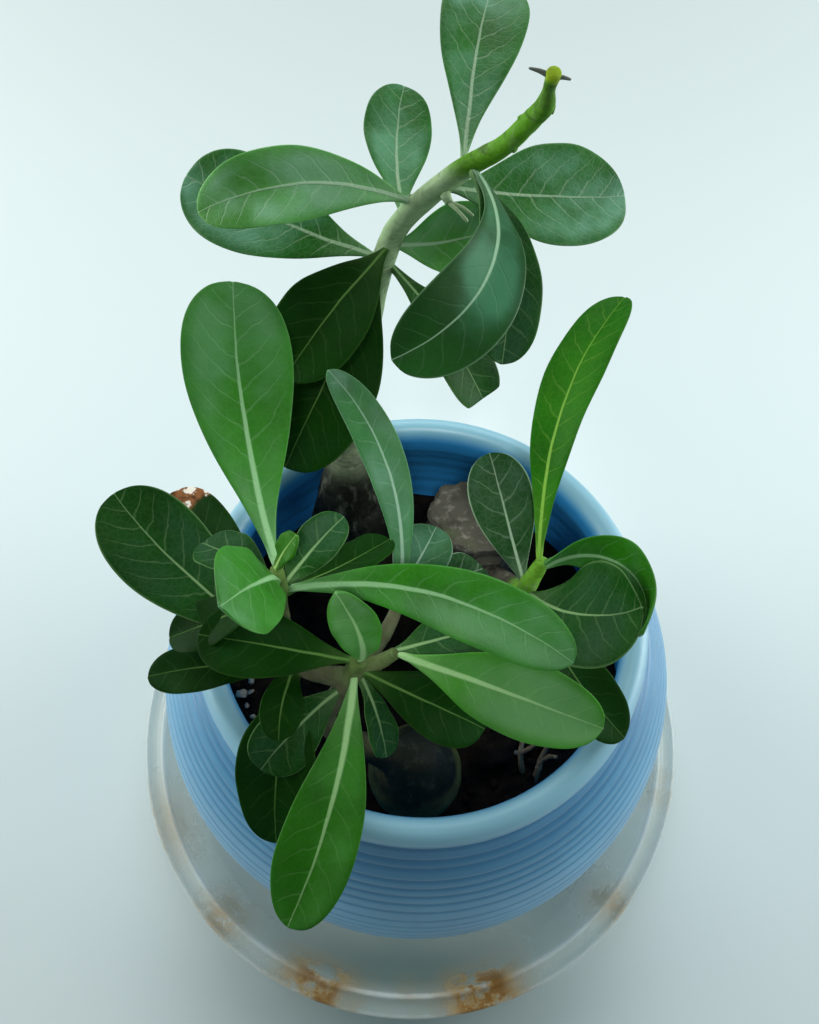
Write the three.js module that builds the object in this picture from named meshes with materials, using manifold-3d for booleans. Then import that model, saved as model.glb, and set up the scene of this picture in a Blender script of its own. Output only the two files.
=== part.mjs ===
// A potted desert rose (adenium): a round-bellied thrown pot on a clear saucer, filled with soil, in which
// stand three swollen-stemmed plants with their leaves. Millimetres, +Z up. The origin is on the pot's axis,
// at the underside of the saucer, so the whole stands on Z = 0.
import * as THREE from 'three';
import { mergeVertices } from 'three/addons/utils/BufferGeometryUtils.js';
import Module from 'manifold-3d';

const wasm = await Module();
wasm.setup();

// ---------------------------------------------------------------- driving dimensions
const GAP = 0.3; // air kept between pieces that touch

const RIM_RADIUS = 60; // outside of the lip
const MOUTH_RADIUS = 53; // inside of the lip
const RIM_TOP = 127; // height of the lip over the ground
const LIP_HALF_HEIGHT = 4.2;
const LIP_START = -0.35; // angle at which the lip's roll leaves the neck, in radians
const NECK_RADIUS = 58.3;
const NECK_TOP = 118.5; // where the lip rolls over into the neck
const BELLY_RADIUS = 76.4;
const BELLY_HEIGHT = 74;
const FOOT_RADIUS = 48;
const FOOT_WIDTH = 6; // width of the ring that the pot stands on
const FOOT_RECESS = 1.5; // depth of the hollow inside that ring
const DRAIN_RADIUS = 6; // drain hole in the pot's floor
const POT_FLOOR = 8.4; // height of the floor inside the pot

const RING_PITCH = 4.3; // thrown rings on the outside of the pot
const RING_DEPTH = 0.9;
const RING_TOP = 113.5;
const RING_COUNT = 15;
const GROOVE_SHARE = 0.62; // where a groove lies between two crests

const SAUCER_RADIUS = 96.8;
const SAUCER_HEIGHT = 17;
const SAUCER_FLOOR = 2.4;
const SAUCER_LIP = 5.8; // width of the grooved lip
const SAUCER_WALL = 2;
const SAUCER_FOOT = 82; // radius of the flat underside

const SOIL_TOP = 76;
const SOIL_RELIEF = 1.6;
const SOIL_RINGS = [14, 28, 42, 54]; // radii at which the soil's surface goes up and down

// Inside of the pot from under the lip down to the floor, as (radius, height).
const INNER_WALL = [
  [53.5, 118], [57, 108], [60, 97], [61.5, 86], [62, SOIL_TOP], [60, 50], [54, 28], [47, 11.4],
  [FOOT_RADIUS - FOOT_WIDTH, POT_FLOOR],
];

const BLADE = 0.75; // thickness of a leaf's blade
const STALK = 1.0; // half the width of a leaf's stalk
const STALK_END = 0.06; // share of a leaf's length that is bare stalk
const STALK_DEPTH = 1.1; // how much thicker than the blade a leaf is at its root
const STALK_FADE = 0.16; // share of its length at which it is as thin as the blade
const RIB = 0.55; // depth of the rib under a leaf, at its root
const RIB_SPREAD = 0.45; // share of the half width that the rib takes up
const TIP = 0.7; // half the width of a leaf at the very end of its tip
const WAVE = 0.35; // how far a leaf's edge waves up and down
const WAVES = 11; // how fast it waves, in radians over the leaf's length
const BITTEN_SHARE = 0.94; // what is left of the length of the leaf with the bitten tip

const POT_SIDES = 32;
const SAUCER_SIDES = 32;

// ---------------------------------------------------------------- materials
const material = (color, roughness, extra = {}) =>
  new THREE.MeshStandardMaterial({ color, roughness, metalness: 0, ...extra });

const glaze = material('#7fb0d4', 0.55);
const clearPlastic = material('#c3cfcb', 0.3, { transparent: true, opacity: 0.6 });
const earth = material('#2a211b', 0.95);
const bark = material('#7d7566', 0.8);
const cork = material('#8d8377', 0.9);
const twig = material('#8f7e6c', 0.9);
const foliage = material('#2f7a2c', 0.45);
const deepFoliage = material('#1c4a25', 0.4);

// ---------------------------------------------------------------- solids
// A closed solid made from a geometry, with shared vertices merged and slivers left out. One whose faces
// point in is turned inside out.
function solid(geometry) {
  const bare = new THREE.BufferGeometry();
  bare.setAttribute('position', geometry.getAttribute('position'));
  if (geometry.index) bare.setIndex(geometry.index);
  const merged = mergeVertices(bare, 1e-4);
  const source = merged.index.array;
  const kept = [];
  for (let i = 0; i < source.length; i += 3) {
    const [a, b, c] = source.subarray(i, i + 3);
    if (a !== b && b !== c && c !== a) kept.push(a, b, c);
  }
  const vertProperties = new Float32Array(merged.getAttribute('position').array);
  const bodyOf = (triVerts) => new wasm.Manifold(new wasm.Mesh({ numProp: 3, vertProperties, triVerts }));
  const body = bodyOf(new Uint32Array(kept));
  return body.volume() > 0 ? body : bodyOf(new Uint32Array(kept).reverse());
}

function geometryOf(body) {
  const { vertProperties, triVerts } = body.getMesh();
  const geometry = new THREE.BufferGeometry();
  geometry.setAttribute('position', new THREE.BufferAttribute(new Float32Array(vertProperties), 3));
  geometry.setIndex(new THREE.BufferAttribute(new Uint32Array(triVerts), 1));
  geometry.computeVertexNormals();
  return geometry;
}

// The largest connected piece of a solid.
function mainPiece(body) {
  const pieces = body.decompose();
  return pieces.reduce((best, piece) => (piece.volume() > best.volume() ? piece : best));
}

const join = (bodies) => bodies.reduce((whole, body) => whole.add(body));

const smooth = (x) => {
  const s = Math.min(Math.max(x, 0), 1);
  return s * s * (3 - 2 * s);
};

// ---------------------------------------------------------------- pot
// Outside of the pot below the lip, as (radius, height) points on a smooth curve.
const potSide = new THREE.CatmullRomCurve3(
  [
    [FOOT_RADIUS, 3],
    [52, 9],
    [64, 28],
    [73.4, 50],
    [BELLY_RADIUS, BELLY_HEIGHT],
    [73, 93],
    [66.5, 107],
    [60.5, 115],
    [NECK_RADIUS, NECK_TOP],
  ].map(([r, z]) => new THREE.Vector3(r, z, 0)),
  false,
  'centripetal',
);

const sidePoints = potSide.getPoints(400);

function sideRadius(z) {
  const i = Math.max(1, sidePoints.findIndex((p) => p.y >= z));
  const [a, b] = [sidePoints[i - 1], sidePoints[i]];
  return a.x + ((b.x - a.x) * (z - a.y)) / (b.y - a.y);
}

// The lip: a round roll, from the neck over the top to the mouth.
function lipPoints(steps = 4) {
  const reach = (RIM_RADIUS - MOUTH_RADIUS) / 2;
  const [middleRadius, middleHeight] = [MOUTH_RADIUS + reach, RIM_TOP - LIP_HALF_HEIGHT];
  const points = [];
  for (let i = 0; i <= steps; i += 1) {
    const angle = LIP_START + ((Math.PI - LIP_START) * i) / steps;
    const [r, z] = [middleRadius + reach * Math.cos(angle), middleHeight + LIP_HALF_HEIGHT * Math.sin(angle)];
    points.push(new THREE.Vector2(r, z));
  }
  return points;
}

function makePot() {
  const base = SAUCER_FLOOR + GAP;
  const profile = [
    new THREE.Vector2(DRAIN_RADIUS, base + FOOT_RECESS),
    new THREE.Vector2(FOOT_RADIUS - FOOT_WIDTH - FOOT_RECESS, base + FOOT_RECESS),
    new THREE.Vector2(FOOT_RADIUS - FOOT_WIDTH, base),
    new THREE.Vector2(FOOT_RADIUS, base),
  ];
  for (let ring = RING_COUNT; ring >= 0; ring -= 1) {
    const crest = RING_TOP - RING_PITCH * ring;
    const groove = crest + RING_PITCH * GROOVE_SHARE;
    profile.push(new THREE.Vector2(sideRadius(crest), crest));
    if (ring > 0) profile.push(new THREE.Vector2(sideRadius(groove) - RING_DEPTH, groove));
  }
  profile.push(new THREE.Vector2(NECK_RADIUS, NECK_TOP), ...lipPoints());
  for (const [r, z] of INNER_WALL) profile.push(new THREE.Vector2(r, z));
  profile.push(new THREE.Vector2(DRAIN_RADIUS, POT_FLOOR), profile[0].clone());
  return solid(new THREE.LatheGeometry(profile, POT_SIDES).rotateX(Math.PI / 2));
}

// ---------------------------------------------------------------- saucer
// Flat floor, flaring wall, and a lip with a shallow groove between two beads.
function makeSaucer() {
  const inner = SAUCER_RADIUS - SAUCER_LIP;
  const top = SAUCER_HEIGHT;
  const points = [
    [0, 0],
    [SAUCER_FOOT, 0],
    [SAUCER_FOOT + 2.5, 1],
    [inner - 0.5, top - 4],
    [SAUCER_RADIUS - 1, top - 4],
    [SAUCER_RADIUS, top - 2],
    [SAUCER_RADIUS - 0.6, top],
    [SAUCER_RADIUS - 1.6, top],
    [SAUCER_RADIUS - 2.4, top - 1.3],
    [inner + 1, top - 1.3],
    [inner, top],
    [inner - 1, top],
    [inner - SAUCER_WALL, top - 1.5],
    [SAUCER_FOOT + 1.5, SAUCER_FLOOR + 1.2],
    [SAUCER_FOOT - 0.5, SAUCER_FLOOR],
    [0, SAUCER_FLOOR],
  ];
  const profile = points.map(([r, z]) => new THREE.Vector2(r, z));
  return solid(new THREE.LatheGeometry(profile, SAUCER_SIDES).rotateX(Math.PI / 2));
}

// ---------------------------------------------------------------- soil
// Height of the soil over its level: broad humps with smaller ones on them.
function soilRelief(x, y) {
  const broad = Math.sin(0.31 * x + 1.3) * Math.cos(0.27 * y);
  const small = Math.sin(0.83 * x - 0.6 * y) * Math.cos(0.7 * y + 0.4 * x);
  return SOIL_RELIEF * (broad + 0.5 * small);
}

function makeSoil(holes) {
  const profile = [0, ...SOIL_RINGS].map((r) => new THREE.Vector2(r, SOIL_TOP));
  for (const [r, z] of INNER_WALL) {
    if (z <= SOIL_TOP) profile.push(new THREE.Vector2(r - GAP, z === SOIL_TOP ? z - 1 : z + GAP));
  }
  profile.push(new THREE.Vector2(0, POT_FLOOR + GAP));
  const geometry = new THREE.LatheGeometry(profile.reverse(), POT_SIDES).rotateX(Math.PI / 2);
  const position = geometry.getAttribute('position');
  for (let i = 0; i < position.count; i += 1) {
    const [x, y, z] = [position.getX(i), position.getY(i), position.getZ(i)];
    if (z > SOIL_TOP - 0.01) position.setZ(i, z + soilRelief(x, y));
  }
  return mainPiece(holes.reduce((body, hole) => body.subtract(hole), solid(geometry)));
}

// ---------------------------------------------------------------- stems
// A stem through the given stations [x, y, z, radius]: a cylinder whose rings are laid along a smooth curve.
function stem(stations, { rings, sides, clear = 0, bumps = 0 }) {
  const places = stations.map(([x, y, z]) => new THREE.Vector3(x, y, z));
  const curve = new THREE.CatmullRomCurve3(places, false, 'centripetal');
  const girth = new THREE.CatmullRomCurve3(stations.map((s, i) => new THREE.Vector3(s[3], i, 0)));
  const frames = curve.computeFrenetFrames(rings, false);
  const geometry = new THREE.CylinderGeometry(1, 1, 1, sides, rings);
  const position = geometry.getAttribute('position');
  const point = new THREE.Vector3();
  for (let i = 0; i < position.count; i += 1) {
    const ring = Math.round((position.getY(i) + 0.5) * rings);
    const t = ring / rings;
    const [across, along] = [position.getX(i), position.getZ(i)];
    const wobble = 1 + bumps * Math.sin(3 * Math.atan2(along, across) + ring * 1.9);
    const radius = girth.getPoint(t).x * wobble + clear;
    const end = ring === 0 ? -clear : ring === rings ? clear : 0;
    point.copy(curve.getPoint(t));
    point.addScaledVector(frames.binormals[ring], across * radius);
    point.addScaledVector(frames.normals[ring], along * radius);
    point.addScaledVector(frames.tangents[ring], end);
    position.setXYZ(i, point.x, point.y, point.z);
  }
  return solid(geometry);
}

// The tall plant: a bottle-shaped caudex that runs over into one leaning stem.
const TALL_TRUNK = [
  [-18, 36, 62, 14], [-18.3, 36.5, 84, 16.3], [-19, 37, 97, 16], [-20.5, 37.3, 107, 13.6],
  [-22.3, 37.5, 116, 9.3], [-22.3, 38.5, 127, 7], [-21.5, 46.5, 141, 4.8], [-18, 60, 162, 3.4],
  [-13.6, 71, 179, 3], [-10, 74, 187, 2.8], [3.5, 78, 200, 2.6], [12.3, 76.8, 208.3, 2.3],
  [17.5, 72.8, 219.3, 2.2], [19.2, 70.5, 224.3, 2.1], [19.3, 69.4, 229.2, 1.3], [19.5, 67.8, 233.8, 1.6],
];
// Buds and stubs on the tall stem, each from its root to its end.
const TALL_STUBS = [
  [[-6.4, 75.6, 191.4, 1.2], [-8.2, 77.5, 192.6, 0.8]],
  [[0.1, 74.9, 196, 1.5], [1.4, 72.9, 195, 1]],
  [[13.6, 75.9, 210, 1.1], [15.2, 74.3, 209.5, 0.8]],
  [[16, 73.6, 217, 1.2], [14.9, 74.5, 218.6, 0.8]],
  [[19.4, 70.8, 223.6, 1.3], [21.4, 70.4, 223.4, 1]],
  [[19.3, 68.3, 232.3, 0.9], [14.4, 68.6, 233.9, 0.5]],
  [[19.3, 68.3, 232.3, 0.9], [22.9, 66.9, 233, 0.5]],
];

// The front plant: a ball-shaped caudex, a thin woody shoot rising from its shoulder, and its three forks.
const FRONT_TRUNK = [
  [0, -36, 66, 7], [0, -37, 84, 8.5], [0.2, -38, 96, 11.6], [0.2, -38.5, 106, 12.3],
  [-1, -38, 115.5, 8.5], [-8, -37.5, 121.5, 4.2], [-17, -36, 126, 3], [-22, -33, 131, 2.5],
  [-19.5, -29.5, 139, 2.4], [-16, -27, 147, 2.5], [-14, -25, 153, 2],
];
const FRONT_FORKS = [
  [[-16, -27, 147, 2.4], [-22, -26, 144.5, 2.3], [-28, -24, 145, 2.3], [-32.5, -16, 147, 2.2],
    [-33.5, -11.5, 153, 2], [-32, -13.5, 163, 1.9], [-31, -16, 171, 1.8], [-31, -15, 178, 1.4]],
  [[-15, -26, 149, 2], [-10, -24, 149, 1.9], [-6, -23, 153, 1.4]],
  [[-15, -26, 148, 2], [-9, -16, 145.5, 1.8], [-6, -9, 147, 1.5]],
];

// The right plant: a rough corky stump with a flat cut top, and one green shoot beside it.
const STUMP = [
  [14.5, 31, 62, 12], [14.5, 31, 95, 14], [14.5, 31.5, 108, 13.8], [14.6, 32, 116, 13.2],
  [14.7, 32.3, 118.2, 12.4],
];
const RIGHT_SHOOT = [
  [17, 24, 100, 4.5], [22, 16, 110, 3.4], [25.5, 8, 122, 2.8], [26, 2, 134, 2.5], [25.5, -0.5, 144, 2.4],
  [28, 2, 153, 1.6],
];

// Dry roots that stick out of the soil.
const DRY_ROOTS = [
  [[34.7, -24, 66, 1.6], [34.7, -25.5, 79.7, 1.6], [36.8, -28.7, 84, 1.4], [41.1, -29.8, 85.1, 1.1]],
  [[35.7, -26.6, 80.8, 1.4], [32.5, -27.6, 85.1, 1.2], [31.4, -30.9, 87.2, 0.9]],
  [[36.3, -28.2, 83.5, 1.3], [37.9, -31.9, 85.1, 1.1], [41.6, -34.1, 84, 0.9]],
];

const makeTallStem = (clear) =>
  join([
    stem(TALL_TRUNK, { rings: 20, sides: 9, clear }),
    ...TALL_STUBS.map((stub) => stem(stub, { rings: 1, sides: 5, clear })),
  ]);

const makeFrontStem = (clear) =>
  join([
    stem(FRONT_TRUNK, { rings: 18, sides: 10, clear }),
    ...FRONT_FORKS.map((fork) => stem(fork, { rings: fork.length + 2, sides: 6, clear })),
  ]);

const makeRightStem = (clear) =>
  join([
    stem(STUMP, { rings: 7, sides: 12, clear, bumps: 0.06 }),
    stem(RIGHT_SHOOT, { rings: 8, sides: 7, clear }),
  ]);

const makeDryRoots = (clear) => join(DRY_ROOTS.map((root) => stem(root, { rings: 4, sides: 5, clear })));

// ---------------------------------------------------------------- leaves
// Each leaf starts at a point on its stem. `turn` is its heading from +X, `rise` its slope there; along its
// length the slope falls by `droop` and the heading turns by `swing`. `long` and `wide` are its size, `widest`
// the share of its length where it is widest, `roll` its tilt about its rib (right side up) and `fold` how far
// each half is lifted from the rib. Degrees and millimetres.
const leafRow = (name, at, turn, rise, long, droop, swing, wide, widest, roll, fold, more = {}) =>
  ({ name, at, turn, rise, long, droop, swing, wide, widest, roll, fold, grid: [6, 8], ...more });

const DARK = { skin: deepFoliage };
const SMALL = { grid: [4, 7] };
const SMALL_DARK = { ...SMALL, ...DARK };

const TALL_LEAVES = [
  leafRow('leaf_tall_top', [4, 78, 201], 88, 27, 56, 27, -9, 22, 0.71, -12, 12),
  leafRow('leaf_tall_back', [-9, 74, 188], 105, 8, 40, -5, -24, 18, 0.64, -14, 12, DARK),
  leafRow('leaf_tall_left_upper', [-6, 76, 191], 188, 34, 54, 60, 6, 18, 0.62, 32, 10),
  leafRow('leaf_tall_left_lower', [-14, 71, 178], 165, 4, 55, -4, -11, 25, 0.72, 30, 10, DARK),
  leafRow('leaf_tall_right', [-1, 77, 196], 5, -12, 48, -3, 13, 27, 0.62, -22, 10),
  leafRow('leaf_tall_inner', [-13, 72, 182], -3, 0, 29, -20, 18, 18, 0.61, -36, 12, SMALL),
  leafRow('leaf_tall_curled', [5, 78, 202], -54, 2, 64, 12, -103, 20, 0.71, 34, 16),
  leafRow('leaf_tall_curled_back', [5, 78, 202], -60, 3, 50, 45, -38, 17, 0.67, 20, 12, SMALL_DARK),
  leafRow('leaf_tall_bitten', [-14, 71, 178], -41, -13, 46, 32, -10, 17.4, 0.74, 11, 12, { ...SMALL, bitten: true }),
  leafRow('leaf_tall_shade', [-12, 72, 182], 241, 7, 45, 32, -6, 23, 0.67, 6, 14, DARK),
  leafRow('leaf_tall_low', [-14, 71, 178], 251, -11, 59, 37, -16, 28, 0.61, 15, 12, DARK),
];

const LEFT_LEAVES = [
  leafRow('leaf_left_upright', [-31, -15, 177], 111, 25, 63, 9, -15, 24, 0.72, -16, 10),
  leafRow('leaf_left_near', [-31, -16, 174], 267, 73, 34, 32, -24, 18, 0.79, 40, 12, SMALL),
  leafRow('leaf_left_young', [-31, -15, 178], 27, 73, 12, 20, 0, 6, 0.7, 0, 14, { grid: [4, 4] }),
  leafRow('leaf_left_long', [-31.5, -15, 167], 8, 18, 66, 30, -42, 16, 0.72, -39, 12, { grid: [4, 8] }),
  leafRow('leaf_left_low', [-32, -13.5, 163], 199, -29, 31, 0, -9, 12.5, 0.68, -1, 12, SMALL),
  leafRow('leaf_left_wide', [-30, -22, 147.5], 155, 13, 57, 3, -23, 23, 0.7, 2, 10),
  leafRow('leaf_left_spotted', [-31, -19, 146], 134, 6, 53, 19, -8, 16, 0.71, 4, 12, SMALL_DARK),
  leafRow('leaf_left_tucked', [-32, -15, 166], 140, 5, 24, 34, 12, 13, 0.71, -14, 12, SMALL),
  leafRow('leaf_left_inner', [-31, -16, 169], 50, 36, 21, 27, -3, 10, 0.65, -7, 12, SMALL),
  leafRow('leaf_left_behind', [-32, -14, 163], 28, -8, 29, 1, 14, 14, 0.72, 32, 12, SMALL_DARK),
];

const FRONT_LEAVES = [
  leafRow('leaf_front_lance', [-6, -9, 147], 80, 51, 60, 25, 65, 10, 0.66, 13, 14),
  leafRow('leaf_front_inner', [-6, -9, 147], 67, 25, 21, 16, -4, 15, 0.67, 9, 12, SMALL_DARK),
  leafRow('leaf_front_dusty', [-6, -10, 147], 35, -3, 26, 22, 0, 14, 0.7, 3, 12, SMALL_DARK),
  leafRow('leaf_front_under', [-29, -24, 146], 256, 24, 19, 40, 16, 10, 0.65, 13, 12, SMALL_DARK),
  leafRow('leaf_front_hanging', [-28, -25, 145], 253, -23, 41, 10, 23, 20, 0.52, -12, 12, DARK),
  leafRow('leaf_front_left_low', [-29, -24, 146], 184, 3, 35, 20, 4, 12, 0.67, 4, 12, SMALL_DARK),
  leafRow('leaf_front_left', [-14, -25, 152], 177, 12, 37, 19, -6, 17, 0.7, 7, 12, DARK),
  leafRow('leaf_front_long', [-15, -26, 150], 270, -6, 57, 20, -24, 18, 0.69, -5, 12),
  leafRow('leaf_front_right_low', [-15, -26, 150], -17, -17, 35, 15, 3, 16, 0.68, -15, 12, SMALL_DARK),
  leafRow('leaf_front_small', [-15, -26, 149], -51, -28, 24, 29, -26, 8, 0.71, 21, 12, SMALL_DARK),
  leafRow('leaf_front_blue', [-17, -28, 144], 219, -2, 27.5, 26, 13, 15, 0.7, 25, 12, SMALL_DARK),
  leafRow('leaf_front_rising', [-14, -25, 153], 143, 105, 32.5, 48, 1, 10.4, 0.67, 35, 16, SMALL),
  leafRow('leaf_front_right', [-6, -23, 153], -21, 14, 48, 17, 3, 19, 0.62, -41, 10),
  leafRow('leaf_front_right_back', [-8, -22.5, 150.5], 16, 14, 26, 21, 0, 14, 0.69, 0, 12, SMALL_DARK),
];

const RIGHT_LEAVES = [
  leafRow('leaf_right_dusty', [25, -1, 142], 116, 43, 35, 18, -8, 16, 0.7, 10, 12, DARK),
  leafRow('leaf_right_tall', [27, 1, 152], 97, 51, 70, 48, -45, 16, 0.72, 30, 14),
  leafRow('leaf_right_curled', [26, 0, 149], 30, 51, 47.5, 41, -152, 18, 0.65, -80, 12),
  leafRow('leaf_right_broad', [25, -1, 142], -61, 35, 43, -32, 44, 25, 0.61, -27, 10, DARK),
  leafRow('leaf_right_low', [25, -1, 142], -63, -18, 43, -5, 20, 16, 0.7, 7, 12, DARK),
];

const LEAVES = [...TALL_LEAVES, ...LEFT_LEAVES, ...FRONT_LEAVES, ...RIGHT_LEAVES];

// Half the width of a leaf at share t of its length: bare stalk, then a blade that widens to a round tip.
function halfWidth(leaf, t) {
  const half = leaf.wide / 2;
  if (t < leaf.widest) {
    const x = Math.max(0, (t - STALK_END) / (leaf.widest - STALK_END));
    return STALK + (half - STALK) * Math.sin((Math.PI / 2) * x) ** 1.4;
  }
  const y = (t - leaf.widest) / (1 - leaf.widest);
  return Math.max(half * Math.sqrt(Math.max(0, 1 - y ** 2.2)), TIP);
}

const LEAF_STEPS = 48;

// The rib of a leaf as points, walked in short steps.
function ribLine(leaf) {
  const points = [new THREE.Vector3(...leaf.at)];
  for (let i = 0; i < LEAF_STEPS; i += 1) {
    const { along } = leafFrame(leaf, (i + 0.5) / LEAF_STEPS);
    points.push(points[i].clone().addScaledVector(along, leaf.long / LEAF_STEPS));
  }
  return points;
}

// Directions at share t of a leaf: along the rib, to its right side, and up from its face.
function leafFrame(leaf, t) {
  const heading = THREE.MathUtils.degToRad(leaf.turn + leaf.swing * t);
  const slope = THREE.MathUtils.degToRad(leaf.rise - leaf.droop * t);
  const roll = THREE.MathUtils.degToRad(leaf.roll);
  const [ch, sh, cs, ss] = [Math.cos(heading), Math.sin(heading), Math.cos(slope), Math.sin(slope)];
  const along = new THREE.Vector3(cs * ch, cs * sh, ss);
  const side = new THREE.Vector3(sh, -ch, 0);
  const up = new THREE.Vector3(-ss * ch, -ss * sh, cs);
  const right = side.clone().multiplyScalar(Math.cos(roll)).addScaledVector(up, Math.sin(roll));
  const face = up.clone().multiplyScalar(Math.cos(roll)).addScaledVector(side, -Math.sin(roll));
  return { along, right, face };
}

// A leaf as a closed blade: one grid for its upper face, the same grid below it, and a rim between them.
// `clear` makes it that much fatter all round.
function makeLeaf(leaf, clear = 0) {
  const [across, along] = leaf.grid;
  const rib = ribLine(leaf);
  const fold = THREE.MathUtils.degToRad(leaf.fold);
  const plane = new THREE.PlaneGeometry(2, 1, across, along);
  const flat = plane.getAttribute('position');
  const upper = [];
  const lower = [];
  for (let i = 0; i < flat.count; i += 1) {
    const v = Math.sign(flat.getX(i)) * Math.abs(flat.getX(i)) ** 1.25;
    const t = (1 - (0.5 - flat.getY(i)) ** 1.35) * (leaf.bitten ? BITTEN_SHARE : 1);
    const step = Math.min(t * LEAF_STEPS, LEAF_STEPS - 1e-6);
    const whole = Math.floor(step);
    const point = rib[whole].clone().lerp(rib[whole + 1], step - whole);
    const { right, face } = leafFrame(leaf, t);
    const width = halfWidth(leaf, t) + clear;
    const wave = WAVE * Math.sin(WAVES * t + leaf.turn) * v * v * smooth(4 * t);
    point.addScaledVector(right, v * width * Math.cos(fold));
    point.addScaledVector(face, Math.abs(v) * width * Math.sin(fold) + wave);
    const stalk = STALK_DEPTH * (1 - smooth(t / STALK_FADE));
    const keel = RIB * (1 - t) * (1 - smooth(Math.abs(v) / RIB_SPREAD));
    upper.push(point.clone().addScaledVector(face, (BLADE + stalk * 0.5) / 2 + clear));
    lower.push(point.clone().addScaledVector(face, -(BLADE + stalk) / 2 - keel - clear));
  }
  const index = [];
  const count = flat.count;
  const grid = plane.index.array;
  for (let i = 0; i < grid.length; i += 3) {
    index.push(grid[i], grid[i + 1], grid[i + 2]);
    index.push(count + grid[i], count + grid[i + 2], count + grid[i + 1]);
  }
  const row = across + 1;
  const edge = [];
  for (let i = 0; i < across; i += 1) edge.push(i);
  for (let i = 0; i < along; i += 1) edge.push(across + i * row);
  for (let i = across; i > 0; i -= 1) edge.push(along * row + i);
  for (let i = along; i > 0; i -= 1) edge.push(i * row);
  edge.forEach((a, i) => {
    const b = edge[(i + 1) % edge.length];
    index.push(a, b, count + b, a, count + b, count + a);
  });
  const geometry = new THREE.BufferGeometry();
  geometry.setAttribute('position', new THREE.BufferAttribute(
    new Float32Array([...upper, ...lower].flatMap((p) => p.toArray())), 3));
  geometry.setIndex(index);
  return solid(geometry);
}

// ---------------------------------------------------------------- assembly
const group = new THREE.Group();

function addPiece(name, body, skin) {
  const mesh = new THREE.Mesh(geometryOf(body), skin);
  mesh.name = name;
  group.add(mesh);
}

const stems = [makeTallStem(0), makeFrontStem(0), makeRightStem(0), makeDryRoots(0)];
const stemRoom = [makeTallStem(GAP), makeFrontStem(GAP), makeRightStem(GAP), makeDryRoots(GAP)];

addPiece('pot', makePot(), glaze);
addPiece('saucer', makeSaucer(), clearPlastic);
addPiece('soil', makeSoil(stemRoom), earth);
addPiece('stem_tall', stems[0], bark);
addPiece('stem_front', stems[1], bark);
addPiece('stem_right', stems[2], cork);
addPiece('dry_roots', stems[3], twig);

// Leaves end at the stem's skin, and one that meets an earlier one gives way to it.
const placed = [];
for (const leaf of LEAVES) {
  let body = makeLeaf(leaf);
  for (const room of [...stemRoom, ...placed]) body = body.subtract(room);
  addPiece(leaf.name, mainPiece(body), leaf.skin ?? foliage);
  placed.push(makeLeaf(leaf, GAP));
}

export default group;
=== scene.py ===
"""A potted desert rose: a ringed blue pot on a clear saucer, soil, three swollen stems and their leaves.

Shapes are worked out in millimetres and scaled to metres as each piece is finished. +Z is up, +X to the right
and +Y away, with the origin on the pot's axis at the underside of the saucer.
"""
import math
import random

import bmesh
import bpy
from mathutils import Matrix, Vector, noise


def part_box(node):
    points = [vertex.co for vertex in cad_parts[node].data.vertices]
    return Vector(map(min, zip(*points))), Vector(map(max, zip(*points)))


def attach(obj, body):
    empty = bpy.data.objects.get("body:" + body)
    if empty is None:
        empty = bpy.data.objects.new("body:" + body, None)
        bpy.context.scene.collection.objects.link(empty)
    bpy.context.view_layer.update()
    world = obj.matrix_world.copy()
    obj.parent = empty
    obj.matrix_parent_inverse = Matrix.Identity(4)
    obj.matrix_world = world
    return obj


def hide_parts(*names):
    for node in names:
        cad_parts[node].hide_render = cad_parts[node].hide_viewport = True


bl_info = {
    "name": "Potted Desert Rose",
    "version": (1, 0, 0),
    "blender": (4, 5, 0),
    "location": "View3D > Sidebar > Desert Rose",
    "description": "Builds a potted desert rose: pot, saucer, soil, stems and leaves",
    "category": "Add Mesh",
}

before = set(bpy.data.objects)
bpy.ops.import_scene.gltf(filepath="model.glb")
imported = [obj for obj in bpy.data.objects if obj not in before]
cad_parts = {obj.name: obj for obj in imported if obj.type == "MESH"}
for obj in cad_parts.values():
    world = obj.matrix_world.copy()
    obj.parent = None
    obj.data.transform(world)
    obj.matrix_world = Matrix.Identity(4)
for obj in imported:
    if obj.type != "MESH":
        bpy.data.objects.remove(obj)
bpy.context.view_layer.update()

MM = 0.001
TURN = 2 * math.pi
BODY = "root"


# ------------------------ sizes, in millimetres
def size_of(node):
    """The lowest and highest corner of a node of the frame, in millimetres."""
    low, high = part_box(node)
    return low / MM, high / MM


POT_LOW, POT_HIGH = size_of("pot")
SAUCER_HIGH = size_of("saucer")[1]

RIM_TOP = POT_HIGH.z
RIM_RADIUS = 60.0
MOUTH_RADIUS = 53.0
NECK_TOP = 118.5
LIP_HEIGHT = 4.2
LIP_MIDDLE = (RIM_RADIUS + MOUTH_RADIUS) / 2
DRAIN_RADIUS = 6.0
FOOT_RADIUS = 48.0
POT_BASE = POT_LOW.z
POT_FLOOR = POT_BASE + 5.7
# Radius and height of points down the inside of the pot, and up its outside, which is a smooth curve.
INNER_WALL = [(53.5, 118), (57, 108), (60, 97), (61.5, 86), (62, 76), (60, 50), (54, 28), (47, 11.4)]
POT_SIDE = [
    (48, 3), (52, 9), (64, 28), (73.4, 50), (76.4, 74), (73, 93), (66.5, 107), (60.5, 115), (58.3, NECK_TOP),
]
RING_HEIGHTS = [116.5, 113.4, 111.3, 108.0, 105.3, 102.6, 99.5, 95.8, 90.7, 86.4, 82.8, 78.9]
RING_PITCH = 3.9  # of the rings below the ones that are listed
RING_COLOUR_SPREAD = 1.5  # how many times wider a ring's colour is than its groove
INSIDE_TOP = 120.0  # where the colour of the inside begins to give way to the lip's
WOBBLE = 0.35 / 75  # share of its radius by which the thrown wall strays from round
RIPPLE, RIPPLE_PACE = 0.05, 0.9  # of the inside
POT_STEPS = 144
SAUCER_STEPS = 96

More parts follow.
